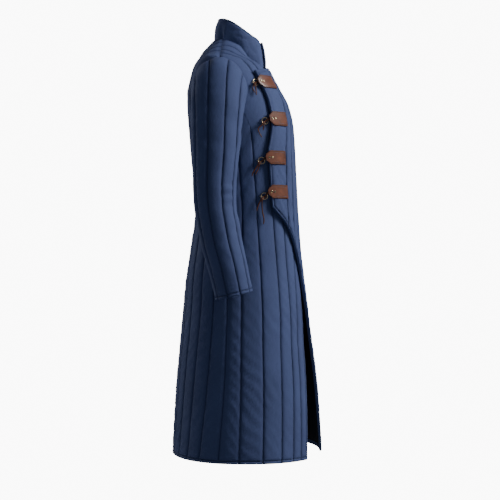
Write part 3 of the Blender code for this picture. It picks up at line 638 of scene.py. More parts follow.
# The lining's near-black colour is painted shade: it stands in for the shade inside the coat seen
# through the front opening.
LINING_DEEP = (0.004, 0.005, 0.009)
LINING_PALE = (0.012, 0.014, 0.022)
blue_canvas = canvas("blue_canvas", BLUE_DEEP, BLUE_PALE, 0.84, 0.12)
painted_shade_lining = canvas("painted_shade_lining", LINING_DEEP, LINING_PALE, 0.90, 0.0)
CLOTH = (blue_canvas, painted_shade_lining)

STITCH_PITCH = 0.0042
STITCH_LENGTH = 0.0015
STITCH_THICKNESS = 0.00034
THREAD_LIFT = STITCH_THICKNESS * 0.6

blue_thread, thread_shader, thread_wire = new_material("blue_thread", {
    "Roughness": 0.6, "Sheen Weight": 0.1})
thread_place = thread_wire.node("ShaderNodeTexCoord", output=3)
thread_twist = cloud_of(thread_wire, thread_place, 900.0, 1.0)
feed(blue_thread, thread_shader, {
    "Base Color": colour_mix(thread_wire, thread_twist, (0.020, 0.032, 0.080),
                             (0.075, 0.105, 0.210))})

stitch_tree = bpy.data.node_groups.new("stitches", "GeometryNodeTree")
stitch_tree.interface.new_socket("Seam lines", in_out="INPUT",
                                 socket_type="NodeSocketGeometry")
for socket_name, socket_value in (("Pitch", STITCH_PITCH), ("Half length", STITCH_LENGTH),
                                  ("Half thickness", STITCH_THICKNESS)):
    stitch_tree.interface.new_socket(socket_name, in_out="INPUT",
                                     socket_type="NodeSocketFloat").default_value = socket_value
stitch_tree.interface.new_socket("Thread", in_out="INPUT", socket_type="NodeSocketMaterial")
stitch_tree.interface.new_socket("Stitches", in_out="OUTPUT", socket_type="NodeSocketGeometry")
stitch_nodes = {}
for key, kind in (("given", "NodeGroupInput"), ("curve", "GeometryNodeMeshToCurve"),
                  ("spaced", "GeometryNodeResampleCurve"), ("way", "GeometryNodeInputTangent"),
                  ("turn", "FunctionNodeAlignRotationToVector"),
                  ("size", "ShaderNodeCombineXYZ"), ("bead", "GeometryNodeMeshIcoSphere"),
                  ("laid", "GeometryNodeInstanceOnPoints"),
                  ("real", "GeometryNodeRealizeInstances"),
                  ("dressed", "GeometryNodeSetMaterial"), ("made", "NodeGroupOutput")):
    stitch_nodes[key] = stitch_tree.nodes.new(kind)
stitch_nodes["spaced"].mode = "LENGTH"
stitch_nodes["turn"].axis = "X"
for source, output, target, socket in (
        ("given", "Seam lines", "curve", "Mesh"), ("curve", "Curve", "spaced", "Curve"),
        ("given", "Pitch", "spaced", "Length"), ("way", "Tangent", "turn", "Vector"),
        ("given", "Half length", "size", "X"), ("given", "Half thickness", "size", "Y"),
        ("given", "Half thickness", "size", "Z"), ("spaced", "Curve", "laid", "Points"),
        ("bead", "Mesh", "laid", "Instance"), ("turn", "Rotation", "laid", "Rotation"),
        ("size", "Vector", "laid", "Scale"), ("laid", "Instances", "real", "Geometry"),
        ("real", "Geometry", "dressed", "Geometry"), ("given", "Thread", "dressed", "Material"),
        ("dressed", "Geometry", "made", "Stitches")):
    stitch_tree.links.new(stitch_nodes[source].outputs[output],
                          stitch_nodes[target].inputs[socket])


def stitches(name, seams):
    """Short stitches of thread along each line of points."""
    points = [tuple(point) for seam in seams for point in seam]
    links = []
    first = 0
    for seam in seams:
        links += [(first + i, first + i + 1) for i in range(len(seam) - 1)]
        first += len(seam)
    mesh = bpy.data.meshes.new(name + "_lines")
    mesh.from_pydata(points, links, [])
    guide = add_object(name + "_lines", mesh)
    modifier = guide.modifiers.new("stitches", "NODES")
    modifier.node_group = stitch_tree
    for item in stitch_tree.interface.items_tree:
        if item.in_out == "INPUT" and item.name == "Thread":
            modifier[item.identifier] = blue_thread
    dressed = guide.evaluated_get(bpy.context.evaluated_depsgraph_get())
    sewn = bpy.data.meshes.new_from_object(dressed)
    guide.modifiers.remove(modifier)
    bpy.data.objects.remove(guide)
    sewn.name = name
    piece = add_object(name, sewn)
    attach(piece, "root")
    return piece


def span_columns(stitched):
    """Places of the columns across a panel, close together beside each stitched line."""
    places = []
    for line in range(len(stitched) - 1):
        if stitched[line] and stitched[line + 1]:
            places += [line + share for share in SPAN_SHARES + (0.5,)]
            places += [line + 1 - share for share in SPAN_SHARES[:0:-1]]
        elif stitched[line]:
            places += [line + 2 * share for share in SPAN_SHARES]
        elif stitched[line + 1]:
            places += [line] + [line + 1 - 2 * share for share in SPAN_SHARES[:0:-1]]
        else:
            places += [line, line + 0.25, line + 0.5, line + 0.75]
    return places + [len(stitched) - 1]


def quilted_panel(name, lines, rise, creases, seed, mirrored=False, free_side=False,
                  seam_stitch=None):
    """A panel with stitched channels, seams at its sewn edges and rolls at its free ones."""
    stitched = [row[0] == 1 for row in lines.rows]
    places = span_columns(stitched)
    grid = []
    for line in places:
        coarse = body_point(*lines.place(line, np.linspace(0, 1, 24)))
        length = distances(coarse, 0)[-1]
        shares = np.concatenate((np.array(EDGE_ROWS) / length,
                                 np.linspace(EDGE_ROWS[-1] / length, 1 - TOP_ROWS[0] / length,
                                             MIDDLE_ROWS + 2)[1:-1],
                                 1 - np.array(TOP_ROWS) / length))
        grid.append(lines.place(line, shares))
    angle = np.array([column[0] for column in grid])
    z = np.array([column[1] for column in grid])
    points, round_way, up, out = body_frame(angle, z)
    points = points + out * rise(angle)[..., None]
    sewn_columns = [i for i, place in enumerate(places) if lines.stitched(place)]
    free_top = np.array([lines.top_place(place) > 3.0 for place in places])
    if mirrored:
        flip = np.array((-1, 1, 1))
        last = len(places) - 1
        points = np.concatenate((points, points[-2::-1] * flip))
        out = np.concatenate((out, out[-2::-1] * flip))
        free_top = np.concatenate((free_top, free_top[-2::-1]))
        sewn_columns += [2 * last - i for i in sewn_columns if i < last]
    across = distances(points, 0)
    along = distances(points, 1)
    to_top = along[:, -1:] - along
    to_end = across[-1:] - across
    inner_lines = [i for i in sewn_columns if 0 < i < len(points) - 1]
    to_line = np.min([np.abs(across - across[i]) for i in inner_lines], axis=0)
    free = [along, np.where(free_top[:, None], to_top, 1.0)]
    seams = [across, np.where(free_top[:, None], 1.0, to_top)]
    (free if free_side else seams).append(to_end)
    to_seam = np.minimum.reduce(seams)
    to_rim = np.minimum.reduce(free)
    grooves = [channel_groove(to_line), band_groove(to_rim)]
    if seam_stitch:
        beside = np.abs(across - seam_stitch(points[..., 2]))
        grooves.append(SEAM_STITCH_SHARE * STITCH_DIP * np.exp(-beside / BAND_REACH))
    dip = deepest(grooves + [SEAM_DIP * np.exp(-to_seam / SEAM_REACH), roll(to_rim)])
    dip = SEAM_DIP + (dip - SEAM_DIP) * ease(to_seam / SEAM_EASE)
    calm = ease(to_seam / SEAM_CALM) * ease((to_rim - BAND) / SEAM_CALM)
    pucker = puckers(seed, across / PUCKER_WIDTH,
                     (along + PUCKER_SLOPE * to_line) / PUCKER_LENGTH, to_line)
    slant = along * DRAG_SLOPE[0] + across * DRAG_SLOPE[1]
    patch = soft_noise(seed + 1, across / PATCH_CELL[0], along / PATCH_CELL[1])
    swerve = DRAG_SWERVE * soft_noise(seed + 3, across / DRAG_CELL[0], along / DRAG_CELL[1])
    drag = np.sin(slant / DRAG_WAVE * 2 * math.pi + swerve)
    drag = drag * (0.25 + 0.75 * ease((-points[..., 2] - 0.30) / 0.35))
    drag = drag * DRAG_DEPTH * (0.60 + 0.7 * patch)
    sway = soft_noise(seed + 2, across / SWAY_CELL[0], along / SWAY_CELL[1]) * SWAY_DEPTH
    folds = creases_at(points, creases)
    dip = dip + calm * (pucker + drag * ease(to_line / DRAG_EASE) + sway + folds)
    depth = (PADDING - roll(to_rim)
             - LINING_DIP * np.exp(-to_line / LINING_REACH) * ease(to_rim / FACING_EASE))
    dip = np.minimum(dip, depth - LEAST_WALL)
    for edge, neighbour in ((0, 1), (-1, -2)):
        if edge == -1 and free_side:
            continue
        points[edge] += unit(points[neighbour] - points[edge]) * SEAM_PULL
    outer = points - out * dip[..., None]
    inner = points - out * depth[..., None]
    # The canvas darkens by this mark as painted shade in the grooves and seams.
    mark = groove_mark(grooves, to_seam)
    piece = shell(name, outer, inner, False, mark, across, along, CLOTH, to_rim < FACING)
    band_row = EDGE_ROWS.index(BAND)
    raised = outer + out * THREAD_LIFT
    sewn = [raised[i, band_row:-3] for i in inner_lines] + [raised[:, band_row]]
    if free_side:
        column = int(np.argmin(np.abs(to_end[:, to_end.shape[1] // 2] - BAND)))
        sewn.append(raised[column, band_row:-3])
    return piece, stitches(name + "_stitching", sewn)


def dress_cloth(pair, node):
    """Ties the cloth piece of a pair to the coat and hides the imported part that it replaces."""
    piece, sewing = pair
    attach(piece, "root")
    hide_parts(node)


BACK_LINES = (
    (1, 0.00, 108.5, 107.0, 105.5, 106.5, 111.0, HEM_Z),
    (1, 0.45, 121.0, 119.0, 118.5, 120.5, 126.5, HEM_Z),
    (0, 1.00, 127.0, 125.5, 125.0, 127.0, 132.5, HEM_Z),
    (1, 1.38, 135.0, 131.5, 131.0, 133.5, 138.0, HEM_Z),
    (1, 1.62, 147.0, 143.5, 143.5, 145.5, 149.5, HEM_Z),
    (1, 1.87, 158.0, 156.5, 156.0, 157.5, 161.0, HEM_Z),
    (0, 2.00, 163.5, 162.5, 162.0, 163.0, 166.0, HEM_Z),
    (1, 2.40, 169.0, 168.5, 168.0, 169.0, 171.0, HEM_Z),
    (1, 3.00, 180.0, 180.0, 180.0, 180.0, 180.0, HEM_Z),
)
BACK_CREASES = (
    ((-150, -60, -440), (-20, -84, -470), 14, 1.6),
    ((-120, -75, -490), (10, -88, -515), 12, 1.2),
    ((150, -62, -450), (40, -84, -478), 13, 1.5),
    ((-165, -75, -150), (-120, -92, -250), 14, 1.6),
    ((165, -75, -155), (122, -92, -245), 14, 1.5),
)
back_pair = quilted_panel("back_panel", Lines(BACK_LINES, 1, False), lambda angle: 0 * angle,
                          BACK_CREASES, 11, mirrored=True)
dress_cloth(back_pair, "back")

# Right front
# The wearer's right front lies under the flap; it carries the rings. A second row of stitching
# runs beside the side seam.

OVERLAP_STEP = 0.0115


def flap_rise(angle):
    """How far the flap lies out over the right front at an angle."""
    return OVERLAP_STEP * ease((angle - 8) / 32)


def beside_side_seam(z):
    """How far the second row of stitching lies from the side seam at a height."""
    return np.interp(z, (-1.115, -0.85, -0.60, -0.30), (0.013, 0.0085, 0.007, 0.007))


RIGHT_FRONT_LINES = (
    (1, 0.00, 108.5, 107.0, 105.5, 106.5, 111.0, HEM_Z),
    (1, 0.25, 93.0, 92.5, 93.0, 94.0, 95.8, HEM_Z),
    (1, 0.53, 78.0, 77.0, 74.7, 76.2, 78.5, HEM_Z),
    (0, 1.00, 69.0, 68.0, 66.0, 68.0, 71.0, HEM_Z),
    (1, 1.25, 61.0, 60.0, 58.0, 60.8, 64.3, HEM_Z),
    (1, 1.45, 46.0, 47.0, 47.0, 50.0, 54.7, HEM_Z),
    (1, 1.70, 30.0, 33.0, 37.0, 42.5, 47.4, HEM_Z),
    (0, 2.00, 19.0, 24.0, 32.5, 39.0, 44.5, HEM_Z),
    (0, 2.25, 14.0, 20.0, 31.0, 38.0, 43.8, HEM_Z),
    (0, 2.50, 9.0, 16.0, 29.0, 36.7, 42.9, HEM_Z),
    (0, 2.75, 4.0, 12.0, 27.2, 35.4, 42.0, HEM_Z),
    (0, 3.00, -2.0, 8.0, 25.5, 34.2, 41.0, HEM_Z),
)
RIGHT_FRONT_CREASES = (
    ((-205, 85, -250), (-202, 30, -330), 11, 2.2),
    ((-200, 100, -232), (-204, 60, -262), 9, 1.5),
    ((-204, 95, -345), (-203, 35, -430), 12, 2.4),
    ((-202, 104, -330), (-203, 62, -368), 9, 1.4),
    ((-203, 100, -435), (-205, 30, -520), 12, 2.0),
    ((-195, 120, -480), (-210, 20, -560), 14, 1.4),
)
right_front_pair = quilted_panel("right_front_panel", Lines(RIGHT_FRONT_LINES, 1, True),
                                 lambda angle: flap_rise(angle) - OVERLAP_STEP,
                                 RIGHT_FRONT_CREASES, 23, free_side=True,
                                 seam_stitch=beside_side_seam)
dress_cloth(right_front_pair, "right_front")

# Left front
# The wearer's left front and the flap are one cut: the flap crosses the chest to the right
# side, and its lower edge is cut away in a curve down to the hem near the middle.

MIRRORED_LINES = 6
LEFT_FRONT_LINES = tuple(
    (stitched, top, *[-angle for angle in angles], bottom)
    for stitched, top, *angles, bottom in RIGHT_FRONT_LINES[:MIRRORED_LINES]) + (
    (1, 1.70, -30.0, -33.0, -36.0, -42.5, -47.4, HEM_Z),
    (1, 1.86, -20.0, -22.0, -25.0, -33.0, -38.5, HEM_Z),
    (0, 2.00, -17.5, -19.5, -22.5, -30.0, -35.5, HEM_Z),
    (0, 2.25, -15.2, -17.0, -20.0, -27.5, -33.0, HEM_Z),
    (0, 2.50, -12.8, -14.2, -17.2, -24.5, -30.2, HEM_Z),
    (1, 2.74, -10.0, -11.0, -14.0, -21.0, -27.0, HEM_Z),
    (1, 3.00, 0.0, 0.0, -3.0, -8.0, -12.0, HEM_Z),
    (1, 3.14, 9.5, 10.0, 9.0, 7.0, 4.0, HEM_Z),
    (1, 3.29, 19.0, 20.0, 20.0, 15.5, 13.0, -0.900),
    (1, 3.43, 28.7, 30.5, 28.5, 24.0, 22.0, -0.645),
    (1, 3.54, 36.0, 38.0, 38.0, 36.0, 36.0, -0.555),
    (1, 3.67, 44.5, 46.0, 46.0, 46.0, 46.0, -0.507),
    (1, 4.00, 64.0, 63.0, 63.0, 63.0, 63.0, -0.452),
)
LEFT_FRONT_CREASES = (
    ((-165, 150, -205), (-120, 172, -196), 9, 0.8),
    ((150, 120, -470), (40, 205, -490), 14, 1.5),
    ((160, 110, -520), (70, 200, -545), 13, 1.2),
    ((170, 80, -180), (120, 120, -270), 14, 1.6),
)
left_front_lines = Lines(LEFT_FRONT_LINES, -1, True)
left_front_pair = quilted_panel("left_front_panel", left_front_lines, flap_rise,
                                LEFT_FRONT_CREASES, 37, free_side=True)
dress_cloth(left_front_pair, "left_front")

# Sleeves
# Each sleeve is one piece, set into the armhole. It is quilted lengthwise in nine channels,
# creased where the elbow bends, and rolled and stitched at the cuff.

# Sleeve rings, in millimetres: the outermost and innermost points of each ring seen from the
# front, and seen from the side its middle, half its width and how far its front edge lifts.
SLEEVE_RINGS = (
    (-214, -61, -210.5, -240, -6, 73.0, 0),
    (-240, -74, -212, -246, -7, 72.0, 0),
    (-264, -98, -213, -254, -8.5, 70.5, 0),
    (-282, -133, -213, -264, -10, 69.0, 0),
    (-295, -175, -213, -277, -10.5, 67.0, 0),
    (-304, -230, -213, -298, -12, 64.5, 0),
    (-312, -300, -213, -320, -13, 62.0, 0),
    (-316, -350, -213, -360, -15, 59.0, 0),
    (-319, -402, -214, -408, -16.5, 56.5, 2),
    (-321, -448, -216, -452, -14.5, 54.5, 5),
    (-324, -500, -219, -502, -7, 53.0, 8),
    (-327, -552, -224, -552, 3, 52.5, 10),
    (-331, -604, -231, -604, 17, 51.0, 11.5),
    (-334, -648, -237, -648, 26.5, 49.5, 12),
    (-337, -674, -241, -674, 32, 48.5, 12.5),
    (-338, -682.5, -242.5, -682.5, 33.8, 48.5, 12.5),
)
SLEEVE_CHANNELS = 9
SLEEVE_FIRST_LINE = 30.0
SLEEVE_ROWS = 96
ARMHOLE_GAP = 0.001
ARMHOLE_EASE = 0.014
ARMHOLE_CALM = 0.022
SLEEVE_PUCKER_WIDTH = 0.04
SLEEVE_PUCKER_SLOPE = 0.6
SLEEVE_DRAG_CELL = (0.09, 0.026)
SLEEVE_DRAG_SLOPE = 0.3
SLEEVE_DRAG_DEPTH = 0.0012
SLEEVE_SWAY_CELL = (0.10, 0.09)


def sleeve_columns(turns):
    """Ring points of the right sleeve at each turn from its front edge towards the outside."""
    outer_x, outer_z, inner_x, inner_z, middle, half_width, lift = np.array(SLEEVE_RINGS).T / 1000
    nothing = 0 * lift
    centre = np.stack(((outer_x + inner_x) / 2, -middle, (outer_z + inner_z) / 2), -1)
    outward = np.stack(((outer_x - inner_x) / 2, nothing, (outer_z - inner_z) / 2), -1)
    forward = np.stack((nothing, -half_width, lift), -1)
    columns = []
    for turn in turns:
        place, z = armhole_edge((270 - turn) % 360 - 180)
        point, round_way, up, out = body_frame(np.array([angle_of(1, place, z)]), z)
        start = point - out * SEAM_DIP - np.array((ARMHOLE_GAP, 0, 0))
        reach = math.radians(turn)
        columns.append(np.vstack((start, centre + forward * math.cos(reach)
                                  + outward * math.sin(reach))))
    return columns


def sleeve(name, side, creases, seed):
    """A quilted sleeve; side is 1 for the wearer's right and -1 for the left."""
    places = span_columns([True] * (SLEEVE_CHANNELS + 1))[:-1]
    channel = 360 / SLEEVE_CHANNELS
    grid = []
    for column in sleeve_columns([SLEEVE_FIRST_LINE + channel * place for place in places]):
        walked = distances(column, 0)
        full = walked[-1]
        rows = np.concatenate((EDGE_ROWS, np.linspace(EDGE_ROWS[-1], full - TOP_ROWS[0],
                                                      SLEEVE_ROWS + 2)[1:-1],
                               full - np.array(TOP_ROWS)))
        grid.append(np.stack([smooth_curve(walked, column[:, k])(full - rows)
                              for k in range(3)], -1))
    points = np.array(grid)
    round_way = np.roll(points, -1, 0) - np.roll(points, 1, 0)
    out = unit(np.cross(round_way, np.gradient(points, axis=1)))
    out *= np.sign(np.sum(out * (points - points.mean(0))))
    across = distances(points, 0)
    around = across[-1] + np.linalg.norm(points[-1] - points[0], axis=-1)
    along = distances(points, 1)
    to_top = along[:, -1:] - along
    sewn_columns = [i for i, place in enumerate(places) if place == int(place)]
    beside = [np.abs(across - across[i]) for i in sewn_columns]
    to_line = np.min([np.minimum(gap, around - gap) for gap in beside], axis=0)
    grooves = [channel_groove(to_line), band_groove(along)]
    dip = deepest(grooves + [roll(along)]) * ease(to_top / ARMHOLE_EASE)
    calm = ease(to_top / ARMHOLE_CALM) * ease((along - BAND) / SEAM_CALM)
    pucker = puckers(seed, across / SLEEVE_PUCKER_WIDTH,
                     (along + SLEEVE_PUCKER_SLOPE * to_line) / PUCKER_LENGTH, to_line)
    drag = soft_noise(seed + 1, across / SLEEVE_DRAG_CELL[0],
                      (along - across * SLEEVE_DRAG_SLOPE) / SLEEVE_DRAG_CELL[1])
    drag = drag * SLEEVE_DRAG_DEPTH
    sway = soft_noise(seed + 2, across / SLEEVE_SWAY_CELL[0], along / SLEEVE_SWAY_CELL[1])
    sway = sway * SWAY_DEPTH
    folds = creases_at(points, creases)
    dip = dip + calm * ((drag + sway) * ease(to_line / DRAG_EASE) + pucker + folds)
    depth = (PADDING - roll(along) - SEAM_DIP * (1 - ease(to_top / ARMHOLE_EASE))
             - LINING_DIP * np.exp(-to_line / LINING_REACH) * ease(along / FACING_EASE))
    dip = np.minimum(dip, depth - LEAST_WALL)
    flip = np.array((side, 1, 1))
    outer = (points - out * dip[..., None]) * flip
    inner = (points - out * depth[..., None]) * flip
    # The canvas darkens by this mark as painted shade in the grooves and at the armhole seam.
    mark = groove_mark(grooves, to_top)
    piece = shell(name, outer, inner, True, mark, across, along, CLOTH, along < FACING)
    band_row = EDGE_ROWS.index(BAND)
    raised = outer + out * flip * THREAD_LIFT
    sewn = [raised[i, band_row:-4] for i in sewn_columns]
    sewn.append(np.vstack((raised[:, band_row], raised[:1, band_row])))
    return piece, stitches(name + "_stitching", sewn)


RIGHT_SLEEVE_CREASES = (
    ((-290, 42, -392), (-322, -2, -402), 8, 2.0),
    ((-292, 42, -420), (-325, -4, -424), 9, 2.4),
    ((-296, 44, -447), (-326, 6, -452), 8, 2.0),
    ((-300, 46, -478), (-327, 14, -490), 9, 1.4),
    ((-292, 42, -406), (-322, 2, -412), 8, -1.2),
    ((-294, 42, -433), (-325, 2, -437), 8, -1.2),
    ((-296, -60, -260), (-312, -10, -300), 13, 1.6),
    ((-290, 50, -215), (-306, 10, -250), 13, 1.4),
    ((-325, -40, -560), (-330, 30, -590), 12, 1.2),
)
LEFT_SLEEVE_CREASES = (
    ((-290, 42, -398), (-322, 0, -404), 8, 1.9),
    ((-292, 42, -426), (-325, -2, -432), 9, 2.2),
    ((-296, 44, -455), (-326, 8, -458), 8, 1.9),
    ((-292, 42, -412), (-322, 2, -418), 8, -1.1),
    ((-296, -58, -270), (-312, -12, -312), 13, 1.6),
    ((-290, 50, -222), (-306, 12, -262), 13, 1.4),
)
for node, side, sleeve_creases, seed in (("right_sleeve", 1, RIGHT_SLEEVE_CREASES, 53),
                                         ("left_sleeve", -1, LEFT_SLEEVE_CREASES, 67)):
    dress_cloth(sleeve(node + "_cloth", side, sleeve_creases, seed), node)

# Collar
# A low stand collar, open at the front, of softer cloth without channels. Its upper edge is
# rolled and stitched, and it creases a little round the neck.

RIM_HALF_WIDTH = 0.060
RIM_HALF_LENGTH = 0.0615
RIM_MIDDLE_FORWARD = 0.0475
RIM_MIDDLE_Z = 0.038
RIM_SLOPE = 0.031
COLLAR_THICKNESS = 0.0065
COLLAR_BOW = 0.003
COLLAR_TUCK = 0.008
COLLAR_BAND = 0.0062
COLLAR_BAND_REACH = 0.0014
COLLAR_BAND_SHARE = 0.45
COLLAR_EASE = 0.012
COLLAR_RIM_EASE = 0.014
COLLAR_SWAY = 0.0008
COLLAR_RIPPLE = 0.00035
COLLAR_LEAST_WALL = 0.0002
COLLAR_TURNS = np.concatenate(([0, 0.4, 1, 2, 3.5], np.linspace(5, 355, 141),
                               [356.5, 358, 359, 359.6, 360]))
COLLAR_HEIGHTS = np.concatenate((np.linspace(0.004, 0.80, 26),
                                 [0.84, 0.87, 0.90, 0.93, 0.955, 0.975, 0.99, 1.0]))
COLLAR_CREASES = (
    ((-66, 38, 14), (-62, 78, 2), 5, 1.1),
    ((-60, 84, 6), (-36, 106, -6), 5, 1.0),
    ((-66, 20, 34), (-64, 58, 26), 5, 0.9),
    ((-55, -2, 30), (-20, -16, 38), 6, 1.0),
    ((66, 40, 12), (60, 82, 0), 5, 1.0),
    ((50, -6, 34), (10, -18, 44), 6, 0.9),
)


def neck_seam(turn):
    """Point on the neck seam at a turn from the centre front, up to 360 degrees."""
    side = 1 if turn <= 180 else -1
    near = turn if side > 0 else 360 - turn
    x, z = neck_edge(near)
    angle = side * angle_at_width(x, z, near < NECK_SIDE_TURN)
    point, round_way, up, out = body_frame(np.array([angle]), z)
    under = side > 0 and near < NECK_SIDE_TURN
    rise = flap_rise(angle) - OVERLAP_STEP if under else 0.0
    return (point + out * (rise - SEAM_DIP))[0]


turns = np.radians(COLLAR_TURNS)
sides = np.sin(turns)
fronts = np.cos(turns)
rim = np.stack((-RIM_HALF_WIDTH * sides,
                -(RIM_MIDDLE_FORWARD + RIM_HALF_LENGTH * fronts)
                + np.where(COLLAR_TURNS <= 180,
                           COLLAR_TUCK * (1 - ease((COLLAR_TURNS - 5) / 40)), 0),
                RIM_MIDDLE_Z - RIM_SLOPE * fronts
                + 0.005 * sides ** 2 * (1 - 2.4 * fronts)), -1)
base = np.array([neck_seam(turn) for turn in COLLAR_TURNS])
away = unit(np.stack((-sides * RIM_HALF_WIDTH, -fronts * RIM_HALF_LENGTH, 0 * sides), -1))
height = COLLAR_HEIGHTS[None, :, None]
collar_points = (base[:, None] * (1 - height) + rim[:, None] * height
                 + away[:, None] * COLLAR_BOW * 4 * height * (1 - height))
collar_out = unit(np.cross(np.gradient(collar_points, axis=0), np.gradient(collar_points, axis=1)))
collar_out *= np.sign(np.sum(collar_out * away[:, None]))
collar_across = distances(collar_points, 0)
collar_along = distances(collar_points, 1)
below_rim = collar_along[:, -1:] - collar_along
from_end = np.minimum(collar_across, collar_across[-1:] - collar_across)
collar_edge = np.minimum(below_rim, from_end)
collar_roll = roll(collar_edge, COLLAR_THICKNESS / 2 - 0.0001)
collar_groove = (COLLAR_BAND_SHARE * BAND_DIP
                 * np.exp(-np.abs(collar_edge - COLLAR_BAND) / COLLAR_BAND_REACH))
collar_calm = (ease(collar_along / COLLAR_EASE) * ease(below_rim / COLLAR_RIM_EASE)
               * ease(from_end / COLLAR_EASE))
collar_sway = (soft_noise(83, collar_across / 0.035, collar_along / 0.016) * COLLAR_SWAY
               + soft_noise(84, collar_across / 0.012 + collar_along / 0.02,
                            collar_along / 0.010) * COLLAR_RIPPLE)
collar_dip = (np.maximum(collar_roll, collar_groove)
              + collar_calm * (collar_sway + creases_at(collar_points, COLLAR_CREASES)))
collar_depth = COLLAR_THICKNESS - collar_roll
collar_dip = np.minimum(collar_dip, collar_depth - COLLAR_LEAST_WALL)
collar_outer = collar_points - collar_out * collar_dip[..., None]
collar_inner = collar_points - collar_out * collar_depth[..., None]
# The collar's band groove is its groove mark, so the canvas darkens there as painted shade.
collar_cloth = shell("collar_cloth", collar_outer, collar_inner, False,
                     np.clip(collar_groove / STITCH_DIP, 0, 1), collar_across, collar_along,
                     CLOTH, collar_edge < FACING)
collar_row = int(np.argmin(np.abs(below_rim[60] - COLLAR_BAND)))
collar_raised = collar_outer + collar_out * THREAD_LIFT
collar_sewing = stitches("collar_stitching", [collar_raised[4:-4, collar_row]])
dress_cloth((collar_cloth, collar_sewing), "collar")

# Leather tabs
# Four tabs of thick brown leather are sewn to the flap, their blunt points past its edge. Each
# has a line tooled inside its edge and is stitched round its square end.

TAB_LENGTH = 0.066
TAB_THICKNESS = 0.0024
TAB_OVERHANG = 0.011
TAB_LIFT = 0.0006
TAB_ROUND = 0.0009
TAB_TOOLED = 0.0028
TOOLED_DEPTH = 0.00028
TOOLED_WIDTH = 0.0005
EYELET_PLACES = (0.010, 0.019)
EYELET_PIT = 0.00035
EYELET_PIT_REACH = 0.0026
TAB_WAVE = 0.0003
TAB_DARK_EDGE = 0.0007
STITCHED_FROM = 0.0280
STITCHED_TO = 0.0610
STITCHED_SHARE = 0.70
# Half the tab's width at distances from its tip.
TAB_OUTLINE = ((0.0, 0.0044), (0.0006, 0.0066), (0.002, 0.0085), (0.011, 0.0158), (0.0126, 0.0170),
               (0.0145, 0.0178), (0.018, 0.018), (0.0650, 0.018), (0.0657, 0.0177),
               (0.066, 0.0171))
TAB_COLUMNS = np.concatenate(([0, 0.0002, 0.0005, 0.0009, 0.0014], np.linspace(0.002, 0.064, 56),
                              [0.0646, 0.0651, 0.0655, 0.0658, 0.066]))
TAB_SHARES = np.concatenate(([0, 0.012, 0.03, 0.05, 0.08, 0.11, 0.135, 0.155, 0.175, 0.20, 0.24],
                             np.linspace(0.30, 0.5, 6)))
TAB_SHARES = np.concatenate((TAB_SHARES, 1 - TAB_SHARES[-2::-1])) * 2 - 1
# Fastenings: the tab's height, how far its ring lies below it and behind the flap's edge, and
# the points of the two free ends from the knot, in millimetres forward, up and out.
FASTENING_ROWS = (
    (-0.1250, 0.000, 0.0125,
     ((-4, -7, -2.5), (-6, -13, -4), (-2, -24, -4)),
     ((3, -14, -3), (1, -30, -4))),
    (-0.2210, 0.006, 0.018,
     ((-7, -9, -1.5), (-13, -16, -3), (-9, -27, -3.5), (-3, -37, -3.5)),
     ((3, -9, -1), (1, -18, -2.5))),
    (-0.3220, 0.009, 0.018,
     ((-8, -14, -2.5), (-15, -26, -3.5), (-17, -34, -3.5)),
     ((-1, -15, -1.5), (-8, -29, -2.5))),
    (-0.4120, 0.012, 0.018,
     ((-6, -12, -2.5), (-10, -24, -3.5), (-12, -31, -3.5)),
     ((2, -16, -2), (4, -34, -3.5), (8, -52, -3.5), (7, -66, -3.5))),
)


def flap_edge(z):
    """Angle of the flap's upright edge at height z."""
    edge = len(LEFT_FRONT_LINES) - 1
    (top_angle, top_z), (low_angle, bottom), angles = left_front_lines.ends(edge)
    share = np.array([(z - bottom) / (top_z - bottom)])
    return float(left_front_lines.place(edge, share)[0][0])


def angles_ahead(start, z, ahead, rise):
    """Angles that lie at distances round the body to the front of a start angle."""
    spread = start + np.linspace(15, -40, 1101)
    points, round_way, up, out = body_frame(spread, z)
    walked = distances(points + out * rise, 0)
    return np.interp(ahead, walked - walked[300], spread)


def leather(name, deep, pale, roughness, coat):
    """Vegetable-tanned leather: fine grain, uneven dye, dark burnished edges."""
    surface, shader, wire = new_material(name, {
        "Roughness": roughness, "Specular IOR Level": 0.22, "Coat Weight": coat,
        "Coat Roughness": 0.25})
    place = wire.node("ShaderNodeTexCoord", output=3)
    cloud = cloud_of(wire, place, 60.0, 5.0)
    fine = cloud_of(wire, place, 900.0, 3.0)
    grain = wire.node("ShaderNodeTexVoronoi", {"feature": "DISTANCE_TO_EDGE"},
                      {"Vector": place, "Scale": 950.0})
    mark = wire.node("ShaderNodeAttribute", {"attribute_name": "groove"}, output=2)
    tone_share = cloud * 1.1 + fine * 0.30 - mark * 0.8 - 0.20
    feed(surface, shader, {
        "Base Color": colour_mix(wire, tone_share, deep, pale),
        "Roughness": cloud * 0.16 + fine * 0.10 + (roughness - 0.13),
        "Normal": relief_of(wire, grain * 0.6 + fine * 0.5, 0.30, 0.00025)})
    return surface


BROWN_DEEP = (0.050, 0.014, 0.007)
BROWN_PALE = (0.175, 0.056, 0.028)
brown_leather = leather("brown_leather", BROWN_DEEP, BROWN_PALE, 0.60, 0.0)
polished_leather = leather("polished_leather", BROWN_DEEP, BROWN_PALE, 0.38, 0.40)

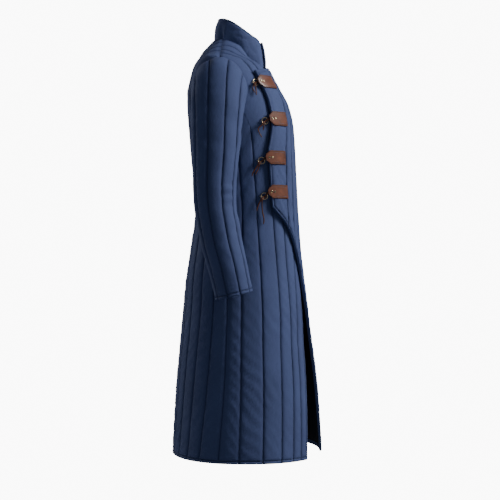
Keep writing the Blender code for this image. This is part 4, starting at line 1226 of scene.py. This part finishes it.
for number, (tab_z, drop, back, *ends) in enumerate(FASTENING_ROWS, start=1):
    edge_angle = flap_edge(tab_z)
    point, round_way, up, out = body_frame(np.array([edge_angle]), tab_z)
    half = np.interp(TAB_COLUMNS, *zip(*TAB_OUTLINE))
    angle = angles_ahead(edge_angle, tab_z, TAB_COLUMNS - TAB_OVERHANG, OVERLAP_STEP)
    heights = tab_z + TAB_SHARES[None] * half[:, None] * up[0, 2]
    points, round_way, up, out = body_frame(angle[:, None] + 0 * heights, heights)
    inside = np.minimum(half[:, None] * (1 - np.abs(TAB_SHARES[None])),
                        np.minimum(TAB_COLUMNS, TAB_LENGTH - TAB_COLUMNS)[:, None])
    across = distances(points, 0)
    tooled = TOOLED_DEPTH * np.exp(-((inside - TAB_TOOLED) / TOOLED_WIDTH) ** 2)
    pits = sum(np.exp(-((TAB_COLUMNS[:, None] - place) ** 2
                        + (TAB_SHARES[None] * half[:, None]) ** 2) / EYELET_PIT_REACH ** 2)
               for place in EYELET_PLACES) * EYELET_PIT
    rounded = roll(inside, TAB_ROUND)
    bend = soft_noise(97 + number, across / 0.03, heights / 0.02) * TAB_WAVE
    top = OVERLAP_STEP + TAB_LIFT + TAB_THICKNESS - rounded - tooled - pits + bend
    under = OVERLAP_STEP + TAB_LIFT + 0 * inside
    mark = np.clip(tooled / 0.0003 + np.exp(-inside / TAB_DARK_EDGE), 0, 1)
    finish = polished_leather if number == 1 else brown_leather
    tab = shell(f"tab_{number}_leather", points + out * top[..., None],
                points + out * under[..., None], False, mark, across, heights,
                (finish, brown_leather))
    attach(tab, "root")
    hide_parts(f"tab_{number}")
    raised = points + out * (top + THREAD_LIFT)[..., None]
    end_column = int(np.argmin(np.abs(TAB_COLUMNS - STITCHED_TO)))
    side_from = int(np.argmin(np.abs(TAB_COLUMNS - STITCHED_FROM)))
    low_row = int(np.argmin(np.abs(TAB_SHARES + STITCHED_SHARE)))
    high_row = len(TAB_SHARES) - 1 - low_row
    stitches(f"tab_{number}_stitching", [
        np.vstack((raised[side_from:end_column, low_row],
                   raised[end_column, low_row:high_row + 1],
                   raised[side_from:end_column, high_row][::-1]))])

# Brass
# Each tab has two small brass eyelets; a near-black disc of painted shade inside each stands in
# for its hole. A brass ring hangs on a wire staple behind the flap's edge; it is cast smooth and a
# little uneven in colour.

EYELET_RADIUS = 0.0021
EYELET_WIRE = 0.0006
HOLE_LIFT = 0.00012
RING_RADIUS = 0.0085
RING_WIRE = 0.0012
RING_LIFT = 0.0050
RING_TILT = math.radians(10)
STAPLE_RADIUS = 0.0032
STAPLE_WIRE = 0.0008
STAPLE_LIFT = 0.0030
STAPLE_FOOT = 0.0004
SEAM_GAP = 0.00005


def sweep(path, radius, sides, closed=False):
    """Points and faces of a round tube along a path, its ends capped unless it is closed."""
    path = np.asarray(path, float)
    if closed:
        ways = unit(np.roll(path, -1, 0) - np.roll(path, 1, 0))
    else:
        ways = unit(np.gradient(path, axis=0))
    first = np.cross(ways[0], np.eye(3)[int(np.argmin(np.abs(ways[0])))])
    normals = [unit(first)]
    for way in ways[1:]:
        normals.append(unit(normals[-1] - way * np.dot(normals[-1], way)))
    normals = np.array(normals)
    if closed:
        other = np.cross(ways[0], normals[0])
        last = unit(normals[-1] - ways[0] * np.dot(normals[-1], ways[0]))
        twist = -math.atan2(np.dot(last, other), np.dot(last, normals[0]))
        turn = (np.arange(len(path)) / len(path) * twist)[:, None]
        normals = normals * np.cos(turn) + np.cross(ways, normals) * np.sin(turn)
    thick = np.broadcast_to(np.asarray(radius, float), (len(path),))[:, None, None]
    spin = np.arange(sides) * 2 * math.pi / sides
    rings = (path[:, None] + thick * (normals[:, None] * np.cos(spin)[None, :, None]
                                      + np.cross(ways, normals)[:, None]
                                      * np.sin(spin)[None, :, None]))
    index = np.arange(len(path) * sides).reshape(len(path), sides)
    if closed:
        index = np.vstack((index, index[:1]))
    turned = np.roll(index, -1, 1)
    faces = np.stack((index[:-1], turned[:-1], turned[1:], index[1:]), -1).reshape(-1, 4).tolist()
    if not closed:
        faces += [index[0, ::-1].tolist(), index[-1].tolist()]
    return rings.reshape(-1, 3), faces


def solid(name, parts, surfaces, node, smooth_angle=50):
    """One piece from several swept parts, each with the number of its material."""
    points = []
    faces = []
    paints = []
    for part_points, part_faces, paint in parts:
        faces += [[corner + len(points) for corner in face] for face in part_faces]
        paints += [paint] * len(part_faces)
        points += [tuple(point) for point in part_points]
    mesh = bpy.data.meshes.new(name)
    mesh.from_pydata(points, [], faces)
    mesh.polygons.foreach_set("material_index", paints)
    for surface in surfaces:
        mesh.materials.append(surface)
    mesh.shade_smooth()
    mesh.set_sharp_from_angle(angle=math.radians(smooth_angle))
    piece = add_object(name, mesh)
    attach(piece, "root")
    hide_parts(*node)
    return piece


def circle(centre, one, other, radius, steps):
    """Points round a circle that lies in two directions."""
    turn = np.arange(steps) * 2 * math.pi / steps
    return centre + radius * (one * np.cos(turn)[:, None] + other * np.sin(turn)[:, None])


pale_brass, brass_shader, brass_wire = new_material("pale_brass", {
    "Metallic": 1.0, "Roughness": 0.28})
brass_place = brass_wire.node("ShaderNodeTexCoord", output=3)
brass_cloud = cloud_of(brass_wire, brass_place, 240.0, 4.0)
feed(pale_brass, brass_shader, {
    "Base Color": colour_mix(brass_wire, brass_cloud * 1.4 - 0.2, (0.50, 0.36, 0.17),
                             (0.86, 0.74, 0.52)),
    "Roughness": brass_cloud * 0.22 + 0.17,
    "Normal": relief_of(brass_wire, brass_cloud, 0.15, 0.0002)})
# Near-black material of the eyelet discs: painted shade that stands in for the holes.
painted_hole_shade, hole_shader, hole_wire = new_material("painted_hole_shade", {
    "Roughness": 0.9, "Specular IOR Level": 0.1})
hole_cloud = cloud_of(hole_wire, hole_wire.node("ShaderNodeTexCoord", output=3), 900.0)
feed(painted_hole_shade, hole_shader, {
    "Base Color": colour_mix(hole_wire, hole_cloud, (0.004, 0.002, 0.001),
                             (0.020, 0.009, 0.006))})

ring_frames = []
for number, (tab_z, drop, back, *ends) in enumerate(FASTENING_ROWS, start=1):
    edge_angle = flap_edge(tab_z)
    for count, place in enumerate(EYELET_PLACES, start=1):
        angle = angles_ahead(edge_angle, tab_z, [place - TAB_OVERHANG], OVERLAP_STEP)
        point, forward, up, out = [part[0] for part in body_frame(angle, tab_z)]
        lift = OVERLAP_STEP + TAB_LIFT + TAB_THICKNESS
        lip = sweep(circle(point + out * (lift + EYELET_WIRE + SEAM_GAP), forward, up,
                           EYELET_RADIUS, 28), EYELET_WIRE, 12, closed=True)
        # A near-black disc just above the tab inside the eyelet is painted shade in place of the
        # hole.
        floor = circle(point + out * (lift + HOLE_LIFT), forward, up, EYELET_RADIUS, 20)
        solid(f"eyelet_{number}_{count}_brass",
              [(*lip, 0), (floor, [list(range(20))], 1)], (pale_brass, painted_hole_shade),
              [f"eyelet_{number}_{count}"])
    ring_z = tab_z - drop
    ring_angle = angles_ahead(flap_edge(ring_z), ring_z, [-back], 0.0)
    point, forward, up, out = [part[0] for part in body_frame(ring_angle, ring_z)]
    ring_frames.append((point, forward, up, out))
    lean = forward * math.cos(RING_TILT) + out * math.sin(RING_TILT)
    hoop = sweep(circle(point + out * RING_LIFT, lean, up, RING_RADIUS, 64), RING_WIRE, 14,
                 closed=True)
    solid(f"ring_{number}_brass", [(*hoop, 0)], (pale_brass,), [f"ring_{number}"])
    rear = point - forward * RING_RADIUS * math.cos(RING_TILT)
    arch = [rear - forward * STAPLE_RADIUS + out * (STAPLE_FOOT + STAPLE_LIFT * share)
            for share in (0, 0.3, 0.6)]
    arch += [rear - forward * STAPLE_RADIUS * math.cos(turn)
             + out * (STAPLE_LIFT + STAPLE_RADIUS * math.sin(turn))
             for turn in np.linspace(0.0, math.pi, 15)]
    arch += [rear + forward * STAPLE_RADIUS + out * (STAPLE_FOOT + STAPLE_LIFT * share)
             for share in (0.6, 0.3, 0)]
    solid(f"staple_{number}_brass", [(*sweep(arch, STAPLE_WIRE, 12), 0)], (pale_brass,),
          [f"staple_{number}"])

# Thongs
# A thin leather thong is doubled through each tab and ring and knotted behind the ring; its two
# free ends hang from the knot, of unequal length.

THONG_RADIUS = 0.0015
THONG_OFFSET = 0.0016
THONG_SPREAD = (0.0008, 0.0012)
KNOT_PLACE = (-0.0092, -0.0068, 0.0088)
KNOT_REACH = 0.0026
KNOT_THICKNESS = 0.0012
LACE_START = (0.0018, -0.0041, -0.0005)
THONG_TAB_SETBACK = 0.0030
THONG_TAB_OUT = 0.0094
THONG_MIDDLE = (0.0078, 0.7, 0.0096)
THONG_ENDS = ((0.0020, 0.0, 0.0068), (-0.0020, -0.0030, 0.0058), (-0.0049, -0.0055, 0.0082))
THONG_STEP = 0.0012


def smooth_route(route):
    """Points read evenly from a smooth curve through a route's own points."""
    route = np.asarray(route, float)
    ends = np.vstack((route[0] * 2 - route[1], route, route[-1] * 2 - route[-2]))
    fine = []
    for a, b, c, d in zip(ends, ends[1:], ends[2:], ends[3:]):
        for t in np.linspace(0, 1, 24, endpoint=False):
            fine.append(0.5 * (2 * b + (c - a) * t + (2 * a - 5 * b + 4 * c - d) * t * t
                               + (3 * b - a - 3 * c + d) * t ** 3))
    fine = np.array(fine + [route[-1]])
    walked = distances(fine, 0)
    even = np.linspace(0, walked[-1], max(4, round(walked[-1] / THONG_STEP)) + 1)
    return np.stack([np.interp(even, walked, fine[:, k]) for k in range(3)], -1)


thong_leather = leather("thong_leather", (0.030, 0.010, 0.006), (0.115, 0.040, 0.022), 0.55, 0.0)
knot_turn = np.linspace(0, 2 * math.pi, 72, endpoint=False)
knot_loop = np.stack((np.sin(knot_turn) + 2 * np.sin(2 * knot_turn),
                      np.cos(knot_turn) - 2 * np.cos(2 * knot_turn),
                      -1.5 * np.sin(3 * knot_turn)), -1) / 3 * KNOT_REACH
for number, (tab_z, drop, back, *ends) in enumerate(FASTENING_ROWS, start=1):
    point, forward, up, out = ring_frames[number - 1]
    axes = np.stack((forward, up, out))
    knot_path = point + (knot_loop + np.array(KNOT_PLACE)) @ axes
    knot = solid(f"knot_{number}_leather", [(*sweep(knot_path, KNOT_THICKNESS, 10, True), 0)],
                 (thong_leather,), [f"knot_{number}"])
    hold = [(back - THONG_TAB_SETBACK, drop, THONG_TAB_OUT),
            (THONG_MIDDLE[0], drop * THONG_MIDDLE[1], THONG_MIDDLE[2])] + list(THONG_ENDS)
    for letter, route, side in zip("ab", ends, (-1, 1)):
        strand = [(along, rise - side * THONG_OFFSET, away) for along, rise, away in hold]
        strand.append((KNOT_PLACE[0] + side * THONG_SPREAD[0],
                       KNOT_PLACE[1] - side * THONG_SPREAD[1], KNOT_PLACE[2]))
        strand.append([near + far * (side if k == 0 else 1) for k, (near, far)
                       in enumerate(zip(KNOT_PLACE, LACE_START))])
        strand += [[near + far / 1000 for near, far in zip(KNOT_PLACE, step)] for step in route]
        path = smooth_route(point + np.array(strand) @ axes)
        nodes = [f"lace_{number}_{letter}"] + ([f"thong_{number}"] if letter == "a" else [])
        lace = solid(f"thong_{number}_{letter}_leather",
                     [(*sweep(path, THONG_RADIUS, 12), 0)], (thong_leather,), nodes,
                     40)
